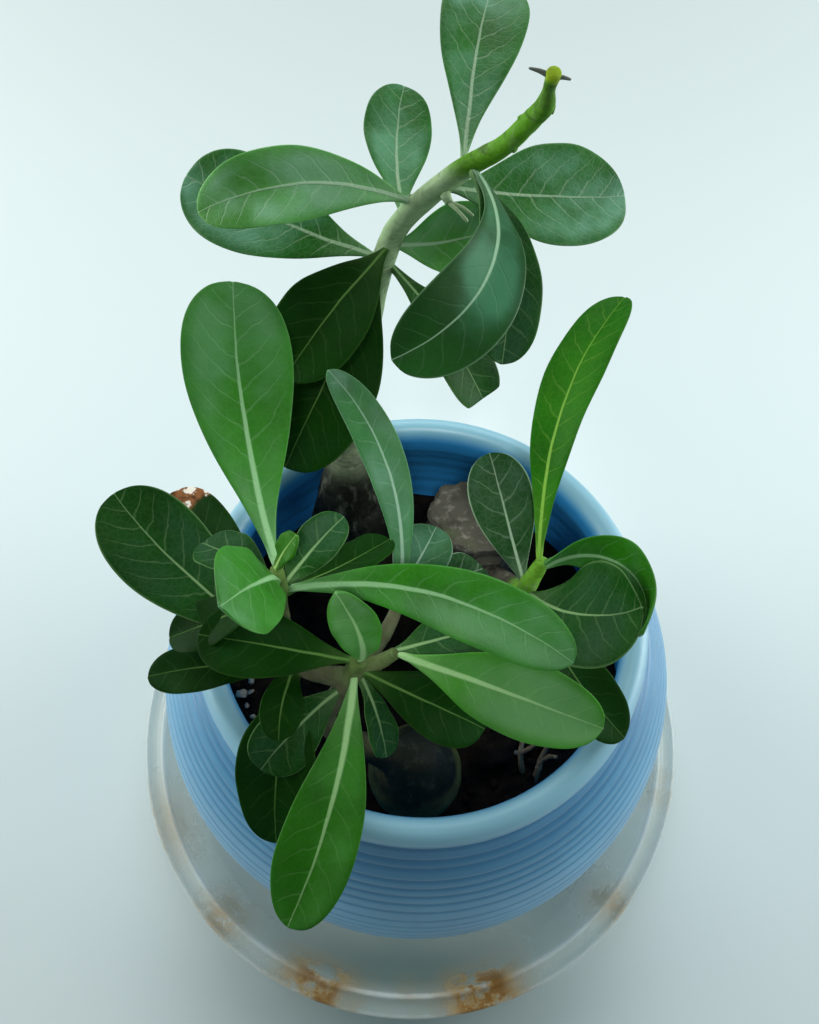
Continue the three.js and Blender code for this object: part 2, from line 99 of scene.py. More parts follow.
SAUCER_RADIUS = SAUCER_HIGH.x
SAUCER_TOP = SAUCER_HIGH.z
SAUCER_RIDGE = SAUCER_RADIUS - 6.5
SAUCER_FLOOR = 2.4
SAUCER_FOOT = 81.0
SAUCER_RING = 70.0  # the low ring that the pot stands inside
SAUCER_LIP = 5.8

SOIL_TOP = 76.0
SOIL_RELIEF = 1.6
SOIL_BENDS = (50, 28)  # heights where its side bends as the pot does

BLADE = 0.75  # thickness
STALK = 0.85  # half its width
STALK_DEPTH = 1.1  # how much thicker it is than the blade
STALK_END = 0.06  # share of the leaf's length
RIB = 0.8  # how deep it is under the blade, where it starts
BITTEN_SHARE = 0.94  # how much of its length the bitten leaf keeps
LEAF_STEPS = 48
LEAF_AROUND, LEAF_ALONG = 28, 34
REAL_MAP = 80.0  # side of the square of real millimetres that a leaf's "real" map covers


def tint(code):
    """A hex colour as linear red, green and blue."""
    channels = [int(code[i : i + 2], 16) / 255 for i in (1, 3, 5)]
    return tuple(c / 12.92 if c <= 0.04045 else ((c + 0.055) / 1.055) ** 2.4 for c in channels)


# ------------------------ settings
def colour_setting(name, description, code):
    """A colour that the panel shows, with a hex colour as its default."""
    return bpy.props.FloatVectorProperty(
        name=name, description=description, default=tint(code), size=3, subtype="COLOR"
    )


class PotSettings(bpy.types.PropertyGroup):
    ring_depth: bpy.props.FloatProperty(
        name="Ring Depth", description="Depth of the thrown rings", default=0.30 * MM, min=0.0, unit="LENGTH"
    )
    ring_width: bpy.props.FloatProperty(
        name="Ring Width", description="Half the width of a ring's groove", default=0.42 * MM, unit="LENGTH"
    )
    glaze: colour_setting("Glaze", "Colour of the glaze", "#4f9fca")
    # Pooled glaze, also used as painted shade in the rings and below the lip.
    pooled: colour_setting("Pooled Glaze", "Colour in the grooves", "#296592")
    # Thin glaze on the lip, paler partly as a painted highlight.
    thin: colour_setting("Thin Glaze", "Colour on the lip", "#8cc2d4")
    # A brighter glaze inside the mouth, as painted light.
    inside: colour_setting("Inside Glaze", "Colour inside the mouth", "#3cb2ff")
    plastic: colour_setting("Saucer", "Colour of the saucer's plastic", "#ccd8cf")
    clearness: bpy.props.FloatProperty(
        name="Clearness", description="How much shows through the saucer", default=0.7, subtype="FACTOR"
    )


class SoilSettings(bpy.types.PropertyGroup):
    crumbs: bpy.props.IntProperty(name="Crumbs", description="Number of loose crumbs", default=900, min=0)
    crumb_size: bpy.props.FloatProperty(
        name="Crumb Size", description="Size of a usual crumb", default=1.5 * MM, unit="LENGTH"
    )
    seed: bpy.props.IntProperty(name="Seed", description="Draws another scatter of crumbs", default=5)


class LeafSettings(bpy.types.PropertyGroup):
    vein_gap: bpy.props.FloatProperty(
        name="Vein Gap", description="Distance between side veins", default=5.4 * MM, unit="LENGTH"
    )
    rib_width: bpy.props.FloatProperty(
        name="Rib Width",
        description="Half the width of a broad rib at its root",
        default=0.95 * MM,
        unit="LENGTH",
    )


class StageSettings(bpy.types.PropertyGroup):
    floor: colour_setting("Floor", "Colour of the floor", "#dfecec")
    key: bpy.props.FloatProperty(
        name="Key Light", description="Power of the soft light behind", default=11.6, unit="POWER"
    )
    sides: bpy.props.FloatProperty(
        name="Side Lights", description="Power of each soft side light", default=7.5, unit="POWER"
    )
    fill: bpy.props.FloatProperty(
        name="Fill Light", description="Power of the light into the mouth", default=3.8, unit="POWER"
    )
    sky: bpy.props.FloatProperty(name="Sky", description="Strength of the light all round", default=0.30)


# ------------------------ curves
def along_curve(points, t):
    """The point at share t of a centripetal Catmull-Rom curve through points."""
    place = min(max(t, 0.0), 1.0) * (len(points) - 1)
    i = min(int(place), len(points) - 2)
    w = place - i
    b, c = points[i], points[i + 1]
    a = points[i - 1] if i > 0 else b * 2 - c
    d = points[i + 2] if i + 2 < len(points) else c * 2 - b
    da, db, dc = (max((q - p).length, 1e-4) ** 0.5 for p, q in ((a, b), (b, c), (c, d)))
    out = ((b - a) / da - (c - a) / (da + db) + (c - b) / db) * db
    into = ((c - b) / db - (d - b) / (db + dc) + (d - c) / dc) * db
    return b + out * w + ((c - b) * 3 - out * 2 - into) * w * w + ((b - c) * 2 + out + into) * w**3


def smooth(x):
    s = min(max(x, 0.0), 1.0)
    return s * s * (3 - 2 * s)


SIDE_CURVE = [along_curve([Vector((r, 0, z)) for r, z in POT_SIDE], i / 400) for i in range(401)]


def side_radius(z):
    """Radius of the pot's outside at height z, before its rings."""
    for low, high in zip(SIDE_CURVE, SIDE_CURVE[1:]):
        if high.z >= z:
            return low.x + (high.x - low.x) * (z - low.z) / (high.z - low.z)
    return SIDE_CURVE[-1].x


def inner_radius(z):
    """Radius of the pot's inside at height z."""
    for (wide, high), (next_wide, low) in zip(INNER_WALL, INNER_WALL[1:]):
        if low <= z:
            return next_wide + (wide - next_wide) * min((z - low) / (high - low), 1)
    return INNER_WALL[-1][0]


# ------------------------ pieces
def finished(name, bm, finish, nodes, levels=0):
    """Turns a mesh in millimetres into a piece in metres that rides on the part in place of its nodes."""
    bmesh.ops.scale(bm, vec=(MM, MM, MM), verts=bm.verts)
    mesh = bpy.data.meshes.new(name)
    bm.to_mesh(mesh)
    bm.free()
    mesh.shade_smooth()
    mesh.materials.append(finish)
    piece = bpy.data.objects.new(name, mesh)
    bpy.context.scene.collection.objects.link(piece)
    if levels:
        rounding = piece.modifiers.new("Rounding", "SUBSURF")
        rounding.levels = rounding.render_levels = levels
    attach(piece, BODY)
    if nodes:
        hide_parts(*nodes)


def wrapped_grid(bm, around, along, place):
    """Wraps a grid into a closed skin. place(share round, share along) gives each point."""
    made = bmesh.ops.create_grid(bm, x_segments=around, y_segments=along, size=0.5)["verts"]
    for vert in made:
        vert.co = place(vert.co.x + 0.5, vert.co.y + 0.5)
    return made


def close_skin(bm, verts):
    """Joins the seam of a wrapped grid and shuts its two ends."""
    bmesh.ops.remove_doubles(bm, verts=verts, dist=1e-4)
    open_edges = [e for e in bm.edges if e.is_boundary]
    bmesh.ops.holes_fill(bm, edges=open_edges, sides=0)
    bmesh.ops.recalc_face_normals(bm, faces=bm.faces)


def add_tube(bm, stations, rings, sides, swell=None):
    """A round stem through stations of x, y, z and radius. swell(share, angle, point) scales its radius."""
    route = [Vector(s[:3]) for s in stations]
    girths = [Vector((s[3], 0, 0)) for s in stations]
    centres = [along_curve(route, i / rings) for i in range(rings + 1)]
    across = Vector((1, 0, 0))
    frames = []
    for i in range(rings + 1):
        ahead = (centres[min(i + 1, rings)] - centres[max(i - 1, 0)]).normalized()
        across = (across - ahead * across.dot(ahead)).normalized()
        frames.append((across, ahead.cross(across)))

    def place(u, v):
        ring = round(v * rings)
        angle = u * TURN
        one, other = frames[ring]
        way = one * math.cos(angle) + other * math.sin(angle)
        radius = along_curve(girths, v).x
        point = centres[ring] + way * radius
        return point if swell is None else centres[ring] + way * radius * swell(v, angle, point)

    close_skin(bm, wrapped_grid(bm, sides, rings, place))


def lathe(points, steps):
    """A closed ring or dish turned from a profile of radius and height."""
    bm = bmesh.new()
    verts = [bm.verts.new((r, 0, z)) for r, z in points]
    edges = [bm.edges.new(pair) for pair in zip(verts, verts[1:])]
    bmesh.ops.spin(
        bm, geom=verts + edges, cent=(0, 0, 0), axis=(0, 0, 1), angle=TURN, steps=steps, use_merge=True
    )
    bmesh.ops.remove_doubles(bm, verts=bm.verts, dist=1e-4)
    bmesh.ops.recalc_face_normals(bm, faces=bm.faces)
    return bm


# ------------------------ materials
class Finish:
    """A procedural material, built up with short calls."""

    def __init__(self, name):
        self.material = bpy.data.materials.new(name)
        self.material.use_nodes = True
        self.tree = self.material.node_tree
        self.tree.nodes.clear()
        self.shader = self.tree.nodes.new("ShaderNodeBsdfPrincipled")
        output = self.tree.nodes.new("ShaderNodeOutputMaterial")
        self.tree.links.new(self.shader.outputs["BSDF"], output.inputs["Surface"])

    def feed(self, socket, value):
        """Links another node's output to a socket, or gives it a number, a vector or a colour."""
        if isinstance(value, str):
            value = tint(value)
        if isinstance(value, bpy.types.NodeSocket):
            self.tree.links.new(value, socket)
        elif socket.type == "RGBA" and len(value) == 3:
            socket.default_value = (*value, 1)
        else:
            socket.default_value = value

    def node(self, kind, **settings):
        node = self.tree.nodes.new(kind)
        for key, value in settings.items():
            setattr(node, key, value)
        return node

    def coords(self):
        return self.node("ShaderNodeTexCoord").outputs["Object"]

    def layer(self, name):
        """A number that the mesh holds for each of its points or faces."""
        return self.node("ShaderNodeAttribute", attribute_name=name).outputs["Fac"]

    def uv(self, name):
        return self.apart(self.node("ShaderNodeUVMap", uv_map=name).outputs["UV"])

    def stretched(self, vector, scale):
        mapping = self.node("ShaderNodeMapping")
        self.feed(mapping.inputs["Vector"], vector)
        mapping.inputs["Scale"].default_value = scale
        return mapping.outputs["Vector"]

    def apart(self, vector):
        parts = self.node("ShaderNodeSeparateXYZ")
        self.feed(parts.inputs[0], vector)
        return parts.outputs

    def calculate(self, operation, *values):
        node = self.node("ShaderNodeMath", operation=operation)
        for socket, value in zip(node.inputs, values):
            self.feed(socket, value)
        return node.outputs[0]

    def times(self, one, other):
        return self.calculate("MULTIPLY", one, other)

    def plus(self, one, other):
        return self.calculate("ADD", one, other)

    def minus(self, one, other):
        return self.calculate("SUBTRACT", one, other)

    def larger(self, one, other):
        return self.calculate("MAXIMUM", one, other)

    def unsigned(self, value):
        return self.calculate("ABSOLUTE", value)

    def fade(self, value, low, high, start=0.0, end=1.0):
        """A smooth step of value from low to high, from start to end."""
        node = self.node("ShaderNodeMapRange", interpolation_type="SMOOTHSTEP")
        for socket, given in zip(node.inputs, (value, low, high, start, end)):
            self.feed(socket, given)
        return node.outputs[0]

    def grain(self, vector, scale, detail=4.0, roughness=0.55):
        node = self.node("ShaderNodeTexNoise")
        for key, given in zip(("Vector", "Scale", "Detail", "Roughness"), (vector, scale, detail, roughness)):
            self.feed(node.inputs[key], given)
        return node.outputs["Fac"]

    def cells(self, vector, scale, feature="F1"):
        node = self.node("ShaderNodeTexVoronoi", feature=feature)
        self.feed(node.inputs["Vector"], vector)
        self.feed(node.inputs["Scale"], scale)
        return node.outputs["Distance"]

    def mix(self, share, low, high, how="MIX"):
        node = self.node("ShaderNodeMix", data_type="RGBA", blend_type=how)
        self.feed(node.inputs["Factor"], share)
        self.feed(node.inputs[6], low)
        self.feed(node.inputs[7], high)
        return node.outputs[2]

    def bumps(self, height, strength, distance):
        node = self.node("ShaderNodeBump")
        self.feed(node.inputs["Height"], height)
        node.inputs["Strength"].default_value = strength
        node.inputs["Distance"].default_value = distance
        return node.outputs["Normal"]

    def close(self, colour, roughness, normal=None, **constant):
        self.feed(self.shader.inputs["Base Color"], colour)
        self.feed(self.shader.inputs["Roughness"], roughness)
        if normal is not None:
            self.feed(self.shader.inputs["Normal"], normal)
        for key, value in constant.items():
            self.feed(self.shader.inputs[key.replace("_", " ")], value)
        return self.material


def glaze_finish(look):
    """Satin blue glaze, deeper where it pools in the rings and paler where it runs thin over the lip. The
    rings' deeper colour is also painted shade in the grooves, the band under the lip is painted shade, the
    lip's paler top is also a painted highlight, and the inside takes a brighter glaze as painted light.
    """
    f = Finish("glaze")
    spot = f.coords()
    height = f.apart(spot)[2]
    groove = f.layer("groove")
    blotch = f.fade(f.grain(spot, 38, 3), 0.35, 0.7)
    colour = f.mix(f.times(blotch, 0.25), look.glaze, look.pooled)
    # Pooled glaze and painted shade: the rings darken towards the pooled colour, for glaze that pools in them
    # and for the shade in the grooves.
    colour = f.mix(f.times(groove, 0.38), colour, look.pooled)
    # Painted shade: the glaze darkens towards the pooled colour up the shoulder to the neck, under the lip.
    neck_shade = f.fade(height, 96 * MM, NECK_TOP * MM, 0.0, 0.45)
    colour = f.mix(neck_shade, colour, look.pooled)
    # Thin glaze and painted highlight: the lip's top is paler, for glaze that runs thin there and for the
    # light it catches from above.
    lip = f.fade(height, (RIM_TOP - 5.0) * MM, (RIM_TOP - 0.5) * MM)
    colour = f.mix(f.times(lip, 0.9), colour, look.thin)
    # Painted light: inside the mouth the glaze takes a brighter colour that stands in for the light reaching
    # in.
    inside = f.layer("inside")
    colour = f.mix(inside, colour, look.inside)
    specks = f.fade(f.cells(spot, 420), 0.0, 0.12, 1.0, 0.0)
    colour = f.mix(f.times(specks, 0.12), colour, look.thin)
    skin = f.grain(f.stretched(spot, (1, 1, 3.5)), 260, 3)
    return f.close(colour, f.fade(skin, 0.2, 0.8, 0.4, 0.55), f.bumps(skin, 0.2, 0.0003),
                   Specular_IOR_Level=0.25, Coat_Weight=1.0, Coat_Roughness=0.38)


# Dried stains along the saucer's lip: where they sit round it and half their width, in degrees, and how
# strong they are.
STAINS = [
    (-131, 7, 0.7), (-107, 12, 0.9), (-73, 12, 1.0), (-40, 5, 0.7), (-154, 12, 0.5), (-13, 4, 0.5),
    (-88, 3, 0.4), (35, 8, 0.6), (120, 9, 0.5), (165, 6, 0.5),
]


def plastic_finish(look):
    """Frosted clear plastic with dried brown water stains along the lip, a painted shadow of the pot, and
    painted highlights on the ridge and the lip.
    """
    f = Finish("clear_plastic")
    spot = f.coords()
    x, y, _ = f.apart(spot)
    angle = f.calculate("ARCTAN2", y, x)
    radius = f.calculate("SQRT", f.plus(f.times(x, x), f.times(y, y)))
    ragged = f.grain(spot, 90, 5, 0.7)
    stain = None
    for degrees, half, strength in STAINS:
        near = f.unsigned(f.minus(angle, math.radians(degrees)))
        reach = math.radians(half)
        patch = f.fade(f.plus(near, f.times(ragged, 0.3)), reach * 0.4 + 0.12, reach + 0.2, strength, 0.0)
        stain = patch if stain is None else f.larger(stain, patch)
    band = f.fade(radius, (SAUCER_RADIUS - 17) * MM, (SAUCER_RADIUS - 8) * MM)
    rough_edge = f.fade(ragged, 0.34, 0.52)
    stain = f.times(f.times(stain, band), rough_edge)
    haze = f.fade(f.grain(spot, 22, 4), 0.3, 0.7)
    colour = f.mix(haze, look.plastic, "#bccbc5")
    # Painted shadow: the pot's shade is painted on the dish before the pot, and painted highlights make the
    # ridge and the lip pale where they catch the light.
    pot_shadow_on_dish = f.times(f.fade(f.unsigned(x), 0.01, 0.065, 0.8, 0.0), f.fade(y, -0.085, -0.06, 1.0, 0.0))
    pot_shadow_on_dish = f.times(pot_shadow_on_dish, f.fade(radius, (SAUCER_RADIUS - 12) * MM, (SAUCER_RADIUS - 6) * MM, 1.0, 0.2))
    colour = f.mix(pot_shadow_on_dish, colour, "#4c726e")
    from_ridge = f.unsigned(f.minus(radius, SAUCER_RIDGE * MM))
    ridge = f.fade(from_ridge, 0.3 * MM, 1.4 * MM, 0.7, 0.0)
    lip = f.fade(radius, (SAUCER_RADIUS - 1.6) * MM, (SAUCER_RADIUS - 0.5) * MM, 0.0, 0.6)
    pale = f.larger(ridge, lip)
    colour = f.mix(pale, colour, "#f0f7f5")
    colour = f.mix(stain, colour, "#b8924a")
    core = f.fade(f.times(stain, ragged), 0.38, 0.55)
    colour = f.mix(core, colour, "#8f6422")
    dents = f.bumps(f.grain(spot, 45, 2), 0.35, 0.0006)
    solid = f.larger(1 - look.clearness * 0.9, f.times(stain, 0.85))
    solid = f.larger(solid, f.times(pale, 0.8))
    return f.close(colour, 0.28, dents, Alpha=solid, IOR=1.47, Coat_Weight=0.3)


def soil_finish():
    f = Finish("soil")
    spot = f.coords()
    clump = f.grain(spot, 160, 6, 0.7)
    colour = f.mix(f.fade(clump, 0.35, 0.7), "#090706", "#231c17")
    fleck = f.fade(f.cells(spot, 620), 0.0, 0.16, 1.0, 0.0)
    colour = f.mix(f.times(fleck, 0.25), colour, "#6e6253")
    return f.close(colour, 0.95, f.bumps(clump, 0.9, 0.0012), Specular_IOR_Level=0.2)


def chip_finish():
    f = Finish("perlite")
    spot = f.coords()
    rough = f.grain(spot, 700, 4)
    return f.close(f.mix(rough, "#8b8274", "#c9c2b4"), 0.9, f.bumps(rough, 0.6, 0.0004))


def bark_finish(name, zones, streak, streak_share, fine=420.0, relief=0.5, wrinkles=0.0):
    """Bark in zones: the lowest colour, then one above each band of heights, with streaks and fine pores."""
    f = Finish(name)
    spot = f.coords()
    height = f.apart(spot)[2]
    wander = f.times(f.minus(f.grain(spot, 70, 3), 0.5), 0.012)
    level = f.plus(height, wander)
    colour = zones[0]
    for low, high, above in zones[1:]:
        colour = f.mix(f.fade(level, low * MM, high * MM), colour, above)
    lines = f.grain(f.stretched(spot, (1, 1, 0.22)), 360, 5, 0.65)
    colour = f.mix(f.times(f.fade(lines, 0.5, 0.72), streak_share), colour, streak)
    blotch = f.grain(spot, 130, 4, 0.6)
    colour = f.mix(f.times(f.fade(blotch, 0.45, 0.75), 0.5), colour, "#4a4434", "MULTIPLY")
    folds = f.grain(f.stretched(spot, (1, 1, 5)), 110, 4, 0.6)
    colour = f.mix(f.times(f.fade(folds, 0.5, 0.7), wrinkles), colour, "#3c372c", "MULTIPLY")
    pores = f.cells(f.stretched(spot, (1, 1, 1.6)), fine)
    height_map = f.plus(f.times(lines, 0.7), f.times(pores, 0.5))
    height_map = f.minus(height_map, f.times(folds, 2.0 * wrinkles))
    return f.close(colour, 0.62, f.bumps(height_map, relief, 0.0007), Specular_IOR_Level=0.15)


# Leaf finishes: the face, its sheen and the rib, then how much sheen there is, how broad the rib is, how
# strong the veins and the dust are, how rough the face is, how pale its edge is and how much it shines. The
# sheen is a painted reflection of the sky on the glossy face, and the pale edge is a painted highlight. Some
# finishes are lit and shaded copies of one leaf: shaded is painted shade, near and bright are painted light
# on lit and backlit leaves, and hazy is a lit face with much painted sheen.
LEAF_FINISHES = {
    "fresh": ("#2a7a0a", "#548c58", "#93c48c", 0.70, 0.85, 0.20, 0.00, 0.42, 0.05, 0.25),
    "near": ("#388a10", "#6c9f68", "#a2cf8c", 0.65, 0.95, 0.12, 0.00, 0.44, 0.03, 0.25),
    "grass": ("#236b02", "#428436", "#9cc786", 0.55, 1.00, 0.12, 0.00, 0.44, 0.05, 0.15),
    "mid": ("#28761c", "#74b08e", "#b4d2ac", 0.95, 0.60, 0.45, 0.04, 0.44, 0.10, 0.25),
    "hazy": ("#5eb448", "#9ed2ae", "#c4e4be", 0.85, 0.60, 0.35, 0.04, 0.44, 0.10, 0.30),
    "misty": ("#367a3c", "#709f86", "#a8d0b2", 0.80, 0.55, 0.20, 0.10, 0.46, 0.20, 0.25),
    "deep": ("#104a05", "#244e30", "#8cb278", 0.65, 0.50, 0.25, 0.02, 0.42, 0.30, 0.10),
    "shaded": ("#093500", "#123c18", "#5b8340", 0.45, 0.42, 0.12, 0.00, 0.46, 0.12, 0.05),
    "bright": ("#1f6f00", "#3c7e1a", "#8cc04c", 0.35, 0.55, 0.30, 0.00, 0.44, 0.08, 0.10),
    "dusty": ("#0c480a", "#1e5434", "#a9c6a5", 0.60, 0.50, 0.30, 0.22, 0.52, 0.60, 0.12),
    "blue": ("#1a5828", "#487a64", "#9fc0aa", 0.70, 0.55, 0.25, 0.15, 0.46, 0.40, 0.15),
    "teal": ("#0c4606", "#44845e", "#a2caa4", 0.80, 0.75, 0.05, 0.00, 0.46, 0.20, 0.15),
    "young": ("#246402", "#3a781c", "#95bb68", 0.30, 0.40, 0.10, 0.00, 0.44, 0.03, 0.10),
}


def leaf_finish(name, look, dead_tip=False):
    """A fleshy leaf: a pale rib, side veins that curve to the tip, fine net veins, a thin pale edge as a
    painted highlight, and a painted sheen.
    """
    face, sheen, rib, sheen_share, breadth, veining, dust, roughness, edge_share, shine = LEAF_FINISHES[name]
    f = Finish("leaf_" + name + ("_spotted" if dead_tip else ""))
    real = f.uv("real")
    share = f.uv("share")
    under = f.layer("under")
    spot = f.coords()
    sway = f.times(f.minus(f.grain(spot, 60, 2), 0.5), 0.9)
    away = f.plus(f.times(f.minus(real[0], 0.5), REAL_MAP), sway)
    along = f.times(real[1], REAL_MAP)
    side = f.unsigned(away)
    t = share[1]
    s = f.unsigned(f.minus(f.times(share[0], 2.0), 1.0))
    wander = f.minus(f.grain(spot, 140, 3), 0.5)

    # Side veins leave the rib at a slant and curve forward.
    curve = f.plus(f.times(side, 0.62), f.times(f.times(side, side), 0.045))
    reach = f.minus(along, curve)
    shifted = f.plus(f.calculate("DIVIDE", reach, look.vein_gap / MM), f.times(wander, 0.85))
    shifted = f.plus(shifted, f.times(f.calculate("GREATER_THAN", away, 0.0), 0.43))
    from_vein = f.unsigned(f.minus(f.calculate("FRACT", shifted), 0.5))
    vein_width = f.fade(s, 0.05, 0.95, 0.085, 0.035)
    vein = f.fade(f.calculate("DIVIDE", from_vein, vein_width), 0.35, 1.0, 1.0, 0.0)
    vein = f.times(vein, f.fade(s, 0.72, 0.95, 1.0, 0.0))
    net = f.cells(spot, 560, "DISTANCE_TO_EDGE")
    net = f.fade(net, 0.0, 0.16, 1.0, 0.0)

    # The rib narrows to the tip.
    rib_half = f.fade(t, 0.0, 1.05, breadth * look.rib_width / MM, 0.14)
    rib_mask = f.fade(f.calculate("DIVIDE", side, rib_half), 0.45, 1.25, 1.0, 0.0)
    rib_mask = f.larger(rib_mask, f.fade(t, 0.03, 0.10, 1.0, 0.0))

    blotch = f.fade(f.grain(spot, 75, 4), 0.3, 0.72)
    colour = f.mix(blotch, face, tuple(c * 0.66 for c in tint(face)))
    # Painted sheen: pale patches, stronger towards the tip and away from the edge, stand in for the sky
    # reflected on the face.
    haze = f.times(f.fade(f.grain(spot, 42, 3), 0.38, 0.62), f.fade(s, 0.6, 1.0, sheen_share, 0.1))
    spread = f.fade(t, 0.15, 0.75, 0.25, 1.0)
    # On the curled leaf the painted sheen lies in a band across its middle, as a painted highlight.
    if name == "teal":
        spread = f.times(f.fade(t, 0.15, 0.4, 0.2, 1.0), f.fade(t, 0.6, 0.85, 1.0, 0.1))
    colour = f.mix(f.times(haze, spread), colour, sheen)
    colour = f.mix(f.fade(t, 0.05, 0.35, 0.2, 0.0), colour, rib)
    colour = f.mix(f.times(net, 0.12 * veining), colour, rib)
    colour = f.mix(f.times(vein, veining * 0.5), colour, rib)
    # Painted highlight: a thin pale line along the edge, where it catches the light.
    colour = f.mix(f.times(f.fade(s, 0.93, 0.985), edge_share), colour, rib)
    colour = f.mix(f.times(under, 0.25), colour, "#4f7a46")
    colour = f.mix(f.times(rib_mask, f.fade(t, 0.3, 1.0, 0.85, 0.4)), colour, rib)
    if dust:
        film = f.fade(f.grain(spot, 55, 5, 0.7), 0.35, 0.75)
        colour = f.mix(f.times(film, dust * 0.45), colour, "#8fa697")
        specks = f.fade(f.cells(spot, 900), 0.0, 0.14, 1.0, 0.0)
        colour = f.mix(f.times(specks, dust * 0.8), colour, "#cfd8cc")
    if dead_tip:
        ragged = f.plus(t, f.times(wander, 0.16))
        brown = f.fade(ragged, 0.84, 0.87)
        dead = f.mix(f.fade(f.grain(spot, 260, 4), 0.4, 0.6), "#8a5a34", "#2c1a0e")
        colour = f.mix(brown, colour, dead)
        pale = f.times(brown, f.fade(f.grain(spot, 420, 3), 0.52, 0.6))
        colour = f.mix(pale, colour, "#efe8dc")
    relief = f.minus(f.times(rib_mask, 0.6), f.times(vein, 0.8 * veining + 0.2))
    relief = f.minus(relief, f.times(net, 0.4 * veining))
    relief = f.plus(relief, f.times(blotch, 0.4))
    gloss = f.plus(roughness, f.times(f.grain(spot, 190, 3), 0.12))
    return f.close(colour, gloss, f.bumps(relief, 0.45, 0.0004), Specular_IOR_Level=shine,
                   Subsurface_Weight=0.1, Subsurface_Radius=(0.4, 1.0, 0.25), Subsurface_Scale=0.001)


# ------------------------ pot and saucer
def ring_heights():
    """Heights of the pot's rings: those near the top as listed, and evenly below."""
    heights = list(RING_HEIGHTS)
    while heights[-1] - RING_PITCH > POT_BASE + 12:
        heights.append(heights[-1] - RING_PITCH)
    return heights


def ring_share(z):
    """How much of its depth and colour a ring keeps: the lower ones are fainter."""
    return 0.35 + 0.65 * smooth((z - 60) / 45)


def pot_profile(look):
    depth, width = look.ring_depth / MM, look.ring_width / MM
    rings = ring_heights()
    hollow = POT_BASE + 1.5
    edge = POT_BASE + 0.7
    points = [
        (DRAIN_RADIUS, hollow), (FOOT_RADIUS - 8, hollow), (FOOT_RADIUS - 7, edge),
        (FOOT_RADIUS - 6.2, POT_BASE), (FOOT_RADIUS - 1, POT_BASE), (FOOT_RADIUS - 0.2, edge),
    ]
    step = 0.3
    for i in range(int((NECK_TOP - POT_BASE - 2) / step)):
        z = POT_BASE + 1.6 + i * step
        near = min(abs(z - ring) for ring in rings)
        cut = depth * math.exp(-((near / width) ** 2)) * ring_share(z)
        points.append((side_radius(z) - cut, z))
    reach = (RIM_RADIUS - MOUTH_RADIUS) / 2
    lip_steps = 22
    for i in range(lip_steps + 1):
        angle = -0.55 + (math.pi + 0.75) * i / lip_steps
        points.append((LIP_MIDDLE + reach * math.cos(angle), RIM_TOP - LIP_HEIGHT * (1 - math.sin(angle))))
    for z in range(INNER_WALL[0][1] - 1, int(POT_FLOOR) + 3, -1):
        points.append((inner_radius(z) + RIPPLE * math.sin(z * RIPPLE_PACE), z))
    points += [(FOOT_RADIUS - 6, POT_FLOOR), (DRAIN_RADIUS, POT_FLOOR), (DRAIN_RADIUS, hollow)]
    return points


class PLANT_OT_pot(bpy.types.Operator):
    """Turn the ringed pot with its rolled lip and drain hole"""

    bl_idname = "desert_rose.pot"
    bl_label = "Pot"

    def execute(self, context):
        look = context.scene.rose_pot
        bm = lathe(pot_profile(look), POT_STEPS)
        groove = bm.verts.layers.float.new("groove")
        inside = bm.verts.layers.float.new("inside")
        rings = ring_heights()
        stain = RING_COLOUR_SPREAD * look.ring_width / MM
        for vert in bm.verts:
            r, z = math.hypot(vert.co.x, vert.co.y), vert.co.z
            if r > side_radius(z) - 1.5 and z < NECK_TOP:
                # The rings' colour, pooled glaze and painted shade, spreads wider than each groove.
                near = min(abs(z - ring) for ring in rings)
                vert[groove] = math.exp(-((near / stain) ** 2)) * ring_share(z)
            elif z > POT_FLOOR + 2 and (z < NECK_TOP or r < LIP_MIDDLE):
                vert[inside] = 1 - smooth((z - INSIDE_TOP) / 7)
            if z > POT_BASE + 6:
                stray = 1 + WOBBLE * noise.noise(vert.co * 0.02 + Vector((3, 1, 8)))
                vert.co.x *= stray
                vert.co.y *= stray
        finished("pot_thrown", bm, glaze_finish(look), ["pot"])
        return {"FINISHED"}


def saucer_profile():
    foot, ring, floor = SAUCER_FOOT, SAUCER_RING, SAUCER_FLOOR
    outer, inner, top = SAUCER_RADIUS, SAUCER_RADIUS - SAUCER_LIP, SAUCER_TOP
    return [
        (0, 0), (foot, 0), (foot + 2, 0.3), (foot + 3.5, 1.2),
        (inner - 0.8, top - 4.4), (inner - 0.2, top - 3.6), (outer - 1.2, top - 3.6), (outer - 0.3, top - 3),
        (outer, top - 1.8), (outer - 0.1, top - 0.6), (outer - 0.6, top), (outer - 1.3, top - 0.1),
        (outer - 2, top - 1), (outer - 2.8, top - 1.5), (inner + 1.6, top - 1.5), (inner + 0.8, top - 0.9),
        (inner + 0.2, top - 0.1), (inner - 0.5, top), (inner - 1.2, top - 0.5), (inner - 2, top - 2),
        (foot + 3.3, floor + 2), (foot + 2, floor + 0.6), (foot, floor),
        (ring, floor), (ring - 0.6, floor + 0.5), (ring - 1.8, floor + 0.5), (ring - 2.4, floor), (0, floor),
    ]


class PLANT_OT_saucer(bpy.types.Operator):
    """Turn the clear saucer with its grooved lip"""

    bl_idname = "desert_rose.saucer"
    bl_label = "Saucer"

    def execute(self, context):
        bm = lathe(saucer_profile(), SAUCER_STEPS)
        wall = SAUCER_FOOT + 3
        for vert in bm.verts:
            r = math.hypot(vert.co.x, vert.co.y)
            if r > wall and vert.co.z > 4:
                warp = noise.noise(Vector((vert.co.x, vert.co.y, 0)) * 0.03)
                vert.co.z += 0.35 * warp * smooth((r - wall) / 8) - 0.1
        plastic = plastic_finish(context.scene.rose_pot)
        finished("saucer_clear", bm, plastic, ["saucer"], levels=1)
        return {"FINISHED"}


